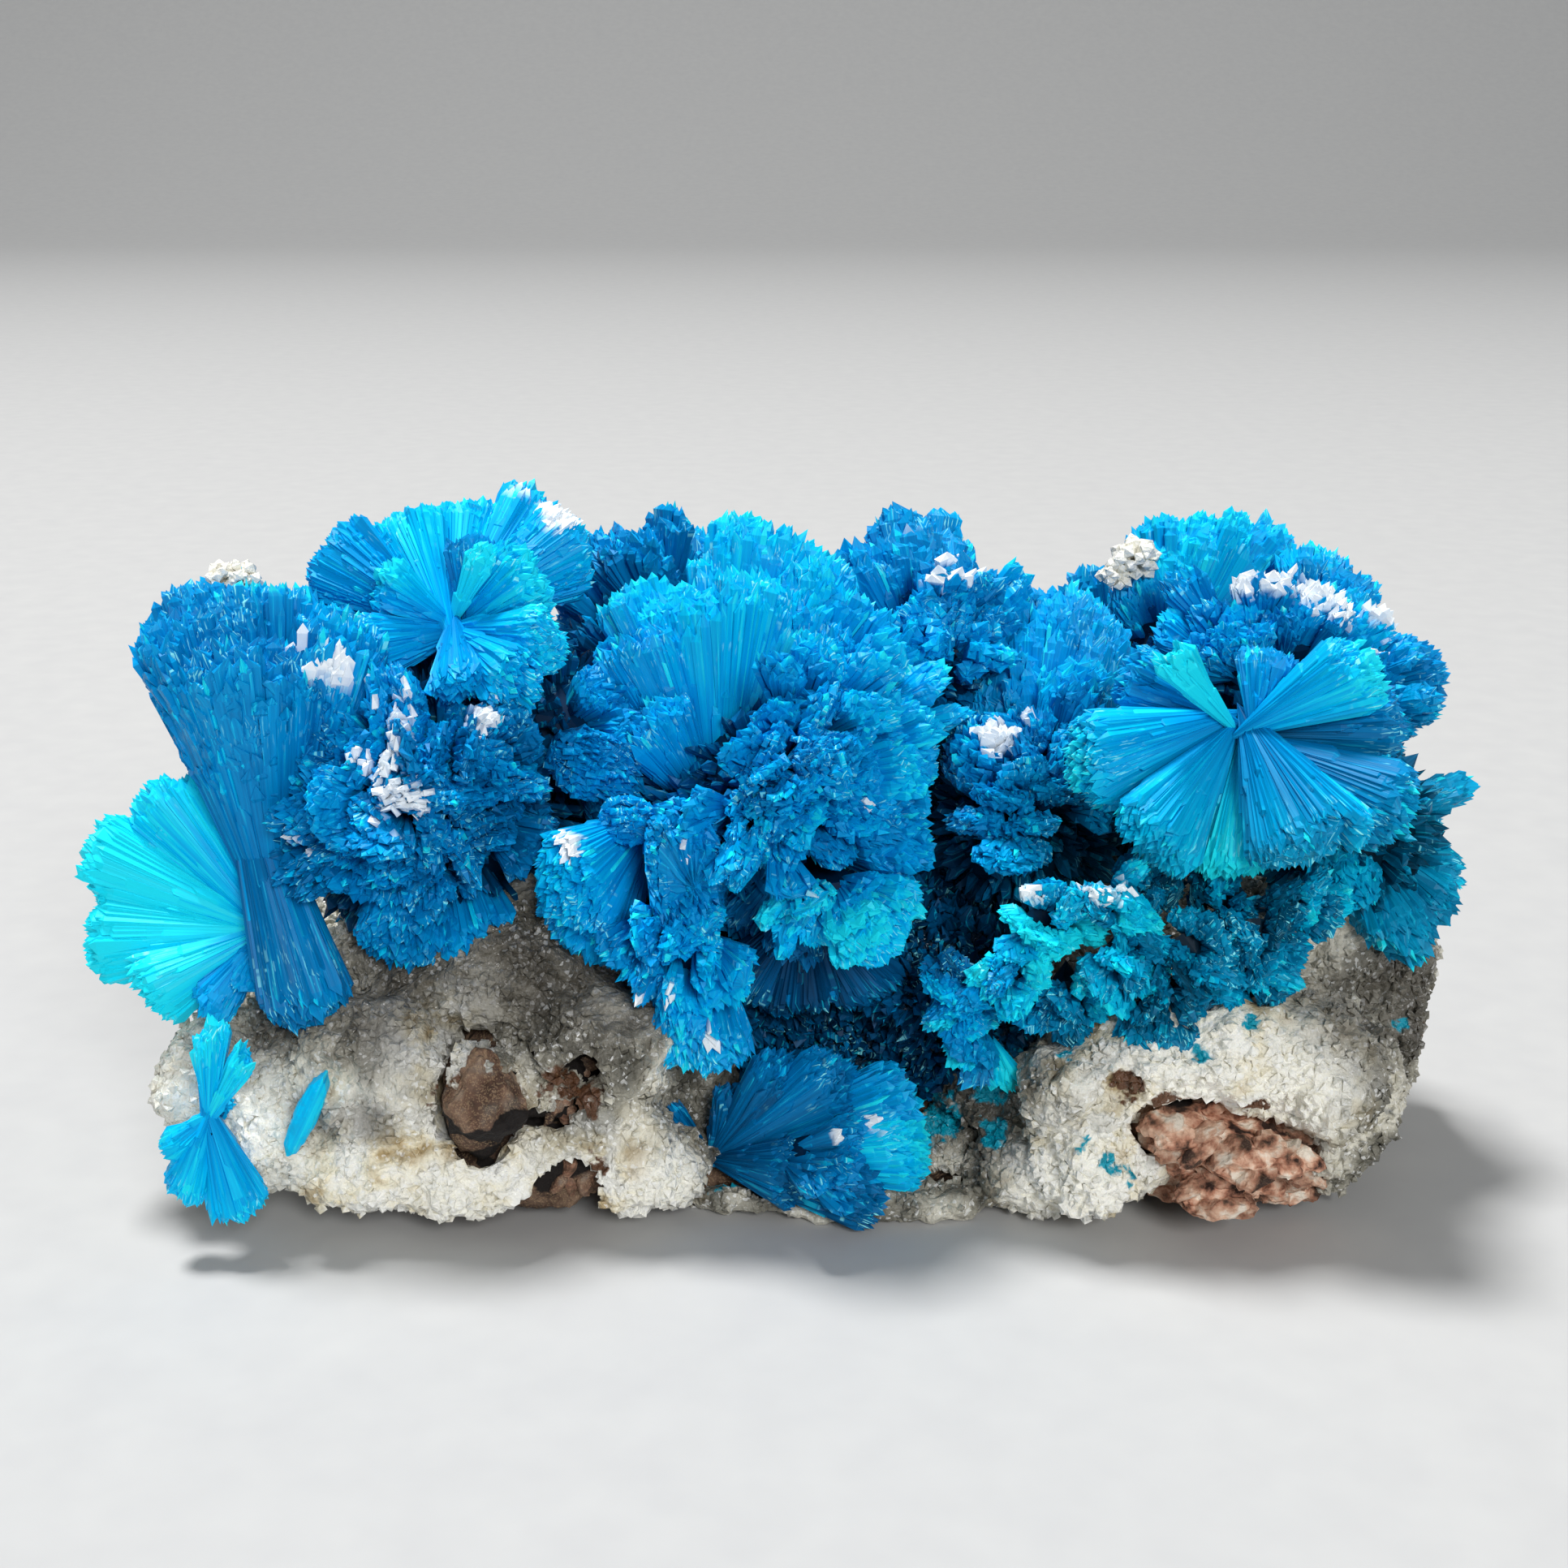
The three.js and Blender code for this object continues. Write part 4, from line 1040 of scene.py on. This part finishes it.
def fan_core(fan):
    """The closed heartwood of a fan, a plain cone inside its blades."""
    rim = 14
    turns = np.arange(rim) * 2 * math.pi / rim
    ring = fan.heart + fan.reach * LOBE_CORE * fan.ways(disc(turns, np.full(rim, LOBE_CORE)))
    points = np.vstack((fan.heart, ring, fan.heart + fan.reach * (LOBE_CORE + 0.04) * fan.axis))
    around = np.arange(rim)
    following = (around + 1) % rim
    bottom = np.column_stack((np.zeros(rim, int), following + 1, around + 1))
    top = np.column_stack((np.full(rim, rim + 1), around + 1, following + 1))
    return points, np.vstack((bottom, top))


def fan_body(fan, tone, dice, peak=PEAK):
    """The grown-together inside of a fan: a fluted cone whose cap is rough with the ends of blades."""
    rim = int(np.clip(fan.girth() / (1.5 * PITCH), *BODY_RIMS))
    rings = int(np.clip(fan.half_sizes()[0] / (3 * PITCH), *BODY_RINGS))
    turns = np.arange(rim) * 2 * math.pi / rim
    column_tones = tone - BODY_SHADE + dice.normal(0, FLUTE_TONE, rim)
    spots, lengths = [], []
    for ring in range(rings):
        spread = BODY * (1 - ring / rings)
        wander = dice.uniform(-0.35, 0.35, rim) * 2 * math.pi / rim * (ring > 0)
        flute = np.where(np.arange(rim) % 2 == 0, 1, FLUTE if ring == 0 else 1)
        spots.append(disc(turns + wander, spread * flute * dice.uniform(0.98, 1.0, rim)))
        lengths.append(BODY * (dice.uniform(*BODY_LENGTHS, rim) - peak * spread**2))
    spots = np.vstack((*spots, (0, 0)))
    lengths = np.append(np.concatenate(lengths), BODY)
    points = np.vstack((fan.heart, fan.heart + fan.reach * lengths[:, None] * fan.ways(spots)))
    around = np.arange(rim)
    following = (around + 1) % rim
    faces = [np.column_stack((np.zeros(rim, int), following + 1, around + 1))]
    for ring in range(rings - 1):
        out, inward = 1 + ring * rim, 1 + (ring + 1) * rim
        faces.append(np.column_stack((out + around, out + following, inward + following)))
        faces.append(np.column_stack((out + around, inward + following, inward + around)))
    last = 1 + (rings - 1) * rim
    faces.append(np.column_stack((last + around, last + following, np.full(rim, last + rim))))
    across = dice.uniform(0, 50) + around / rim * fan.girth() / MM
    marks = {
        "tone": np.concatenate(([tone], np.tile(column_tones, rings), [tone])),
        "across": np.concatenate(([across[0]], np.tile(across, rings), [across[0]])),
        "along": np.append(0, lengths) * fan.reach * STRIPE,
        "height": np.append(0, np.where(np.arange(len(lengths)) < rim, 0.9, 0.84)),
    }
    return points, np.vstack(faces), marks


def plain_marks(core, tone):
    points, triangles = core
    count = len(points)
    marks = {"tone": tone, "across": 0, "along": 0, "height": 0.7}
    return points, triangles, {name: np.full(count, float(value)) for name, value in marks.items()}


def knot_core(heart, knot):
    points, triangles = ball_model(2, 0.92 * knot * MM)
    return points + np.array(heart) * MM, triangles


def cavansite_piece(name, node, crystals, cores, dice):
    """Joins blades and cores into one piece that stands for a node, with its marks for the finish."""
    columns = [np.concatenate(column) for column in zip(*crystals)]
    hidden = buried(columns[0] + columns[1], DEEP)
    hidden &= (columns[6] > 0.25) | buried(columns[0] + 0.6 * columns[1], DEEP)
    roots, ways, sides, widths, depths, tones, lows, highs = (column[~hidden] for column in columns)
    count = len(roots)
    thin_ones = dice.uniform(0, 1, count) < THIN_ONES
    points, triangles = grow(
        BLADE,
        roots,
        ways * (1 + THIN_OVER * thin_ones)[:, None],
        sides,
        widths * (1 - THIN_BY * thin_ones),
        depths,
        dice.uniform(-0.5, 0.5, count),
        PITCH * dice.uniform(*POINT_LENGTHS, count),
    )
    corners = BLADE[0]
    up_blade = np.tile(corners[:, 2], count)
    lows, highs, tones, shares = (np.repeat(c, len(corners)) for c in (lows, highs, tones, widths / MM))
    height = lows + up_blade * (highs - lows)
    # Thin blades are paler at the top as painted glints.
    tone_marks = tones + THIN_GLINT_TONE * np.repeat(thin_ones, len(corners)) * (up_blade > 0.5)
    across = np.tile(corners[:, 0], count) * shares + np.repeat(dice.uniform(0, 50, count), len(corners))
    along = up_blade * np.repeat(np.linalg.norm(ways, axis=1), len(corners)) * STRIPE
    # Blade ends near the highlight spots are marked for white painted highlights.
    near = nearness(roots + ways, WHITE_GLINT_SPOTS)
    white_glinted = np.repeat(dice.uniform(*WHITE_GLINT_CHANCES, count) < near, len(corners))
    points, triangles = joined([(points, triangles), *cores])
    points[:, 2] = np.maximum(points[:, 2], BLADES_LOWEST)
    piece = mesh_piece(name, points, triangles)
    blade_marks = {"tone": tone_marks, "across": across, "along": along, "height": height}
    for mark_name, values in blade_marks.items():
        mark(piece.data, mark_name, np.concatenate([values] + [core[2][mark_name] for core in cores]))
    mark(piece.data, "white_glint", np.append(WHITE_GLINT_FULL * white_glinted, np.zeros(len(points) - len(white_glinted))))
    piece.data.materials.append(cavansite_finish)
    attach(piece, "root")
    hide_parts(node)
    return piece


def lobe(cone, tone, tone_range, dice, coarse=1.0):
    """The blades and the cores of a lobe: small fans in its cap, round a dark core."""
    crystals = []
    cores = [plain_marks(fan_core(cone), CORE_SHADE_TONE)]
    for small in lobe_fans(cone, dice):
        small_tone = tone + dice.uniform(*tone_range)
        crystals.append(fan_blades(small, small_tone, dice, coarse, skirts=1, ragged=0.05, peak=TUFT_PEAK))
        cores.append(fan_body(small, small_tone, dice, TUFT_PEAK))
    return crystals, cores


def rosette(name, heart, fans, tone, knot=0, node="cavansite_cluster", coarse=1.0, scales=0, peak=PEAK,
            waist=WAIST, loose=False):
    """Fans (tip, half-angle across, half-angle through, tone shift, direction across) on one heart. Loose
    fans stray from the heart, so that they overlap each other."""
    dice = np.random.default_rng(sum(name.encode()))
    crystals = []
    cores = []
    for tip, wide, thin, *rest in fans:
        cone = Fan(heart, tip, wide, thin, *rest[1:])
        own = tone + sum(rest[:1]) + dice.uniform(-0.06, 0.06)
        if thin <= FLAT_FAN or scales:
            cone.twist(dice.normal(0, TWIST))
            cone.set_back(waist * dice.uniform(0.6, 1.6) if loose else waist)
            if loose:
                cone.heart = cone.heart + dice.normal(0, 1, 3) * STRAY
            crystals.append(fan_blades(cone, own, dice, coarse, scales=scales, peak=peak))
            cores.append(fan_body(cone, own, dice, peak))
        else:
            lobe_crystals, lobe_cores = lobe(cone, own, LOBE_TONES, dice, coarse)
            crystals += lobe_crystals
            cores += lobe_cores
    if knot > SMALL_KNOT:
        # The knot's core is dark with painted shade.
        cores.append(plain_marks(knot_core(heart, knot), CORE_SHADE_TONE))
        crystals.append(knot_blades(heart, knot, tone - KNOT_SHADE, dice))
    return cavansite_piece(name, node, crystals, cores, dice)


rosette(
    "left_shoulder", (-26, -10.5, 15.5),
    [
        ((-28.5, -8, 33.6), 13, 12), ((-26.5, -11.5, 33.2), 18, 14), ((-23.5, -9, 32.5), 15, 13),
        ((-29.5, -6, 30), 14, 14), ((-25, -4, 32), 18, 16), ((-23.8, -14, 10.8), 18, 11),
    ],
    tone=0.41, scales=3,
)

# The left trunk is the long dark sheaf that runs down from the shoulder, past the heart of the left fan.
rosette("left_trunk", (-28.5, -9, 27), [((-23.5, -14.3, 10.5), 8, 6)], tone=0.3)

# The left fan is a flat half-wheel of blades that opens towards the left end, the palest of all.
rosette(
    "left_fan", (-26.5, -11, 15.5),
    [
        ((-33, -8, 23), 20, 11, -0.06), ((-36.5, -9, 19), 16, 10, 0.06),
        ((-36.5, -10, 15), 17, 11, 0.1), ((-33, -12.5, 12.2), 18, 12, -0.04),
        ((-29.8, -13.5, 11.4), 14, 11, -0.2), ((-27.5, -13.6, 12.8), 13, 9, -0.2),
    ],
    tone=0.7,
)

# The top left rosette is the full flower of the specimen: fans all round a small pale heart.
rosette(
    "top_left_rosette", (-17, -7, 30.5),
    [
        ((-20.5, -8, 33), 22, 12), ((-16.5, -7, 35.5), 16, 9, -0.12),
        ((-14.5, -9, 35.5), 7, 6, 0.2), ((-12, -9, 34), 24, 10, 0.04),
        ((-10.5, -10, 30.5), 18, 11, 0.08), ((-12.5, -11.5, 28), 20, 12),
        ((-16, -12, 27.5), 18, 12, -0.06), ((-22, -9.5, 30), 20, 12, -0.04),
    ],
    tone=0.57, knot=2, loose=True,
)

# The top left crest is the back half of the same flower, rough with scales.
rosette(
    "top_left_crest", (-17, -7, 30.5),
    [
        ((-24, -3, 34), 18, 11), ((-20.5, -1, 35.5), 18, 11, 0.04), ((-17, 0, 36), 17, 11, 0.06),
        ((-13, 0, 35.5), 17, 11, 0.08), ((-10, -1.5, 34), 18, 12),
    ],
    tone=0.57, scales=2, loose=True,
)

# The left druse fills the slope under the flower with small blunt sprays, dark between, with white painted
# highlights on their ends.
rosette(
    "left_druse", (-18.5, -5, 21),
    [
        ((-21, -13.5, 28.5), 20, 17), ((-17, -14.5, 27), 20, 17), ((-24.5, -13.5, 25), 20, 17),
        ((-25, -14.5, 21), 19, 17), ((-20.5, -16.5, 24), 19, 17), ((-17, -16.5, 22.5), 18, 16),
        ((-21.5, -15.5, 19.5), 18, 16), ((-13.5, -13.5, 25.5), 18, 16), ((-14, -14, 21.5), 18, 16),
        ((-17.5, -14.5, 18), 18, 16), ((-11.5, -11, 22.5), 18, 16), ((-19.5, -14, 14), 16, 11),
        ((-15, -12.5, 14), 13, 11),
    ],
    tone=0.36, knot=7,
)

# The dark saddle is the small rosette in the shade between the flower and the centre fan.
rosette(
    "dark_saddle", (-12, -4, 24),
    [
        ((-7.5, -7.5, 28), 24, 14, 0.06), ((-6.5, -8.5, 24.5), 20, 13), ((-9, -11.5, 24), 20, 14),
        ((-8, -8.5, 20.5), 22, 13),
    ],
    tone=0.38, knot=4,
)

# The centre fan is the tallest sheaf, fine bladed and even in colour, spread like an open hand.
rosette(
    "centre_fan", (-3.5, -7, 20),
    [
        ((-4, -5, 34), 25, 14), ((-0.5, -2.5, 35.5), 14, 12), ((2, -5, 33), 19, 13),
        ((-8, -5.5, 32), 16, 13), ((-7.5, -8.5, 27), 18, 12, -0.1),
    ],
    tone=0.55, knot=4,
)

# The cabbage is the round head to the right of the centre fan, scaled with short blade ends.
rosette(
    "cabbage", (-1, -7, 22),
    [
        ((4.5, -6, 32.5), 25, 18), ((7.5, -8, 29.5), 22, 16), ((8, -10, 26), 18, 14),
        ((7, -12, 23.5), 18, 14), ((3, -14.5, 30), 24, 18), ((1.5, -17, 26.5), 24, 20),
        ((4.5, -14.5, 22.5), 20, 16), ((-1.5, -17, 22), 24, 20),
    ],
    tone=0.47, knot=4.5,
)

# The middle lobe hangs forward under the centre fan, on the edge of the dark hollow.
rosette(
    "middle_lobe", (-7, -8, 20.5),
    [
        ((-11.5, -15, 18), 26, 14), ((-4, -16, 19), 34, 15), ((-8, -13, 22), 20, 14),
        ((-11, -13, 14.5), 24, 12, -0.08),
    ],
    tone=0.48,
)

# The cyan spray is the pale striped one that points out of the middle, above the dark hollow.
rosette(
    "cyan_spray", (1, -7, 19),
    [
        ((3.5, -17, 17), 32, 17), ((7, -13, 21), 18, 14, -0.16), ((0, -10.5, 13), 18, 14, -0.35),
        ((-3, -9, 14), 16, 12, -0.35),
    ],
    tone=0.62,
)

# The hanging lobe drops over the front of the pale crust, left of the hollow.
rosette(
    "hanging_lobe", (-5, -7.5, 17),
    [
        ((-5, -17, 14), 26, 22), ((-4.5, -15, 9), 17, 14), ((-7.5, -15, 15.5), 20, 16),
    ],
    tone=0.45,
)

# The dark curtain hangs at the back of the hollow in the middle; its low tone paints it nearly black with
# the shade there.
rosette(
    "dark_curtain", (1, -10, 16.5),
    [
        ((5.5, -9.6, 10.5), 20, 8), ((1, -9.8, 10), 22, 8), ((-3, -9.8, 10.8), 20, 8),
    ],
    tone=0.1,
)

# The peaks are the sharp group of blades that stands against the sky right of the centre.
rosette(
    "peaks", (7.5, -1, 26.5),
    [
        ((6, 1, 36.5), 17, 14), ((3.5, 0, 34.5), 18, 14), ((9, 2.5, 35), 16, 14),
        ((9.5, -4.5, 33.5), 20, 16), ((13, -0.5, 32.5), 16, 13), ((11, -6, 30), 22, 17),
        ((7.5, -7, 31), 18, 16),
    ],
    tone=0.48, knot=4, coarse=1.4, peak=0.2,
)

# The saddle is the slope between the peaks and the right rosette, with white painted highlights on blade
# ends.
rosette(
    "saddle", (13, -4, 19),
    [
        ((13.5, -9, 27), 20, 16), ((9.5, -10, 26), 18, 14), ((15.5, -12, 24.5), 20, 16),
        ((11, -13.5, 22.5), 20, 16), ((15, 1, 31.5), 18, 14, 0.08), ((11.5, -3, 29), 18, 14, 0.04),
        ((17.5, 0, 31.5), 14, 12, 0.08), ((17, -6, 28.5), 18, 14, 0.04),
    ],
    tone=0.44, knot=4.5, peak=0.16,
)

# The rear right fan stands up behind the right rosette; its pale tone paints the glow of the light that
# comes through it.
rosette(
    "rear_right_fan", (21.5, 3, 25.5),
    [
        ((21.5, 5, 34.5), 20, 13, 0.05), ((24.5, 5.5, 35), 20, 13, 0.05), ((28, 6.5, 34), 15, 12),
        ((18.5, 3, 32), 16, 12, -0.05),
    ],
    tone=0.58, knot=4, peak=0.14,
)

# The right cap is the broad top of the right end, with white painted highlights on blade ends.
rosette(
    "right_cap", (27, -1, 24),
    [
        ((21.5, -5, 31.5), 26, 20), ((26.5, -4, 32), 28, 20), ((31.5, -2, 31), 28, 20),
        ((34.5, -3, 28), 20, 16), ((31, 3, 32), 20, 16), ((34.5, -5, 25), 22, 18),
    ],
    tone=0.45, knot=5,
)

# The right rosette is the second flower: long flat fans round a pale heart, with one straight sheaf.
rosette(
    "right_rosette", (22.5, -12, 26.5),
    [
        ((18, -15.5, 31.5), 7, 6, 0.26), ((16.5, -11, 28.5), 22, 12, -0.08),
        ((14.5, -13.5, 23.6), 28, 12, -0.05), ((17.5, -16, 21), 22, 12, -0.02),
        ((21.5, -14.5, 19), 13, 10, 0.14), ((25.5, -17, 20.5), 26, 14, -0.1),
        ((30, -16, 23.5), 20, 12, -0.18), ((31.5, -11.5, 26.5), 22, 12, -0.14),
        ((28.5, -13.5, 30.5), 22, 12, 0.05), ((23.5, -10.5, 31), 22, 12, -0.1),
    ],
    tone=0.56, knot=2, loose=True,
)

# The right edge carries small sheaves down the end of the specimen, and one spike points right.
rosette(
    "right_edge", (29.5, -6, 19.5),
    [
        ((36.5, -6, 22), 9, 9), ((36, -5, 19), 18, 14), ((35.5, -8, 16), 20, 16),
        ((32.5, -10, 13), 20, 14), ((29, -12.5, 16.5), 20, 14),
    ],
    tone=0.45, knot=4.5, peak=0.2, loose=True,
)

# The rear rosettes are on the hidden back, finished as the front is, with somewhat coarser blades. Each
# has its heart, its tone, the radius of its knot and its fans.
REAR_COARSE = 1.3
REAR_ROSETTES = {
    "rear_left_rosette": ((-21, 5, 21), 0.45, 5.5, [
        ((-27, 11, 27.5), 26, 20, 0, (1, 1, 0)), ((-19.5, 14, 26), 28, 22), ((-30, 7, 22), 24, 20),
        ((-26, 13.5, 19), 26, 20), ((-20, 16, 19), 28, 22), ((-25.5, 3, 30), 24, 20),
    ]),
    "rear_middle_rosette": ((-7, 6, 23), 0.48, 6, [
        ((-12, 11.5, 31), 26, 20), ((-4.5, 13, 30), 28, 20), ((-9, 16.5, 23.5), 28, 22),
        ((-2, 15.5, 22), 24, 20), ((-7, 6, 33), 24, 20), ((-14.5, 14, 23), 22, 20),
    ]),
    "rear_peak_rosette": ((7, 6, 22), 0.42, 5.5, [
        ((3.5, 9, 31), 24, 18), ((10, 12, 29), 26, 20), ((5, 16.5, 22), 28, 22),
        ((12, 15, 21), 26, 20), ((1, 13, 27), 22, 18),
    ]),
    "rear_right_rosette": ((21, 5, 20), 0.46, 6, [
        ((16, 13, 27), 26, 20), ((24, 12, 27.5), 28, 20), ((20, 16.5, 20), 28, 22),
        ((28, 12, 21), 26, 20), ((31, 6, 24), 24, 18), ((30.5, 9, 17), 22, 18),
    ]),
}
for name, (heart, tone, knot, fans) in REAR_ROSETTES.items():
    rosette(name, heart, fans, tone, knot, coarse=REAR_COARSE)

# The front bed is a carpet of small sprays over the right half of the front, dark blue with bright
# ends, each leaning out of the crust.
SPRAY = 6
BED_SPRAYS = [
    ((8.5, -14.5, 11.5), 34, (-0.2, -0.8, -0.1), 0.08),
    ((10.5, -16, 14.5), 34, (-0.2, -0.9, 0.1), 0.12),
    ((13, -16.5, 17.5), 34, (0, -0.9, 0.2), 0.14),
    ((16, -17, 19), 34, (0.1, -0.9, 0.3), 0.1),
    ((17, -17.5, 15.5), 36, (0, -1, 0), 0.06),
    ((20.5, -17.5, 16.5), 34, (0.1, -0.9, 0.2), -0.06),
    ((24, -17, 17), 34, (0.2, -0.9, 0.2), -0.04),
    ((26.5, -15, 18.5), 32, (0.3, -0.8, 0.3), -0.04),
    ((14, -16, 12.5), 34, (-0.1, -0.9, -0.2), 0),
    ((19, -17, 12.5), 34, (0, -0.9, -0.3), -0.08),
    ((23.5, -16.5, 13.5), 34, (0.1, -0.9, -0.2), -0.02),
    ((9.5, -13.5, 8), 24, (-0.2, -0.6, -0.7), 0.1),
    ((7.8, -13.8, 12.8), 26, (-0.4, -0.7, -0.2), -0.12),
    ((18.5, -14, 19.5), 30, (0, -0.8, 0.5), -0.12),
    ((22.5, -14, 19), 30, (0.1, -0.8, 0.5), -0.12),
]
BED_TONE = 0.4
BED_TONES = (-0.14, 0.24)
bed_dice = np.random.default_rng(33)
bed_crystals = []
bed_cores = []
for tip, wide, lean, shift in BED_SPRAYS:
    cone = Fan(np.array(tip) - np.array(lean) * SPRAY, tip, wide, 0.8 * wide)
    crystals, cores = lobe(cone, BED_TONE + shift, BED_TONES, bed_dice)
    bed_crystals += crystals
    bed_cores += cores
cavansite_piece("front_bed", "cavansite_cluster", bed_crystals, bed_cores, bed_dice)

# The hollow druse is a skin of short dark blades on the crust at the back of the hollow, in deep shade;
# their low tones paint that shade.
HOLLOW_BLADES = 3200
HOLLOW_TRIES = 60000
HOLLOW_NEAR = 0.3
hollow_dice = np.random.default_rng(21)
hollow_seats, hollow_out = open_faces(crust, HOLLOW_TRIES, [], hollow_dice)
in_hollow = nearness(hollow_seats, CRUST_SPOTS["shade"]) > HOLLOW_NEAR
hollow_seats, hollow_out = hollow_seats[in_hollow][:HOLLOW_BLADES], hollow_out[in_hollow][:HOLLOW_BLADES]
hollow_count = len(hollow_seats)
hollow_ways = unit(hollow_out + hollow_dice.normal(0, 0.4, hollow_out.shape))
hollow_ways *= (hollow_dice.uniform(0.9, 1.8, hollow_count) * MM)[:, None]
hollow_widths = hollow_dice.uniform(0.4, 0.8, hollow_count) * MM
hollow_crystals = (
    hollow_seats - 0.2 * hollow_ways,
    hollow_ways,
    unit(np.cross(hollow_ways, hollow_dice.normal(0, 1, hollow_ways.shape))),
    hollow_widths,
    0.5 * hollow_widths,
    hollow_dice.uniform(0.02, 0.22, hollow_count),
    np.full(hollow_count, 0.3),
    np.full(hollow_count, 0.9),
)
cavansite_piece("hollow_druse", "cavansite_cluster", [hollow_crystals], [], hollow_dice)

# The hollow spray grows by itself in the recess at the bottom of the front, fans against the dark.
rosette(
    "hollow_spray", (-3.8, -11.5, 2.8),
    [
        ((-6.8, -11.5, 6), 14, 9, -0.06), ((-2.2, -11.8, 7.5), 16, 9, -0.04),
        ((1.2, -12.5, 9.3), 18, 9), ((4, -12.8, 8.6), 17, 10), ((7.3, -12.8, 6.5), 15, 9, 0.2),
        ((8, -13.2, 4.6), 14, 10, 0.3), ((4.9, -15.5, 5.2), 17, 16, 0.12),
        ((5.5, -14.2, 2.4), 15, 10), ((1.5, -14.8, 3.4), 20, 11),
    ],
    tone=0.26, knot=1.5, node="cavansite_hollow_spray",
)

# The left sheaf is a small bow-tie of blades that stands against the white balls of the left end.
rosette(
    "left_sheaf", (-28.6, -16.9, 7.8),
    [
        ((-28.1, -16.7, 13.3), 9, 7), ((-26.1, -17, 11.9), 8, 7), ((-31.2, -17, 5.6), 16, 11),
        ((-30.6, -17, 2.7), 14, 11), ((-27.1, -17, 2.1), 15, 11), ((-28.6, -14.6, 7.6), 26, 22),
    ],
    tone=0.6, knot=1, node="cavansite_left_sheaf", waist=0.3,
)

# The lens crystal is a single almond of joined blades on the front ball, striped along its length.
LENS_TILT = math.radians(26)
LENS_GRAIN = 0.12 * MM
LENS_ROOT = 0.8 * MM
LENS_TONE = 0.62
LENS_HEIGHT = 0.7
lens = rough_copy("cavansite_lens_crystal", "lens_crystal", LENS_GRAIN, [(0.5 * MM, 0.15 * MM)])
lens_points = mesh_points(lens.data)
lens_points[lens_points[:, 1] > lens_points[:, 1].mean(), 1] += LENS_ROOT
lens.data.vertices.foreach_set("co", lens_points.ravel())
lens.data.update()
lens_across = lens_points[:, 0] * math.cos(LENS_TILT) - lens_points[:, 2] * math.sin(LENS_TILT)
lens_along = lens_points[:, 0] * math.sin(LENS_TILT) + lens_points[:, 2] * math.cos(LENS_TILT)
mark(lens.data, "tone", np.full(len(lens_points), LENS_TONE))
mark(lens.data, "height", np.full(len(lens_points), LENS_HEIGHT))
mark(lens.data, "across", lens_across / MM)
mark(lens.data, "along", lens_along * STRIPE)
mark(lens.data, "white_glint", np.zeros(len(lens_points)))
lens.data.materials.append(cavansite_finish)
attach(lens, "root")
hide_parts("cavansite_lens_crystal")
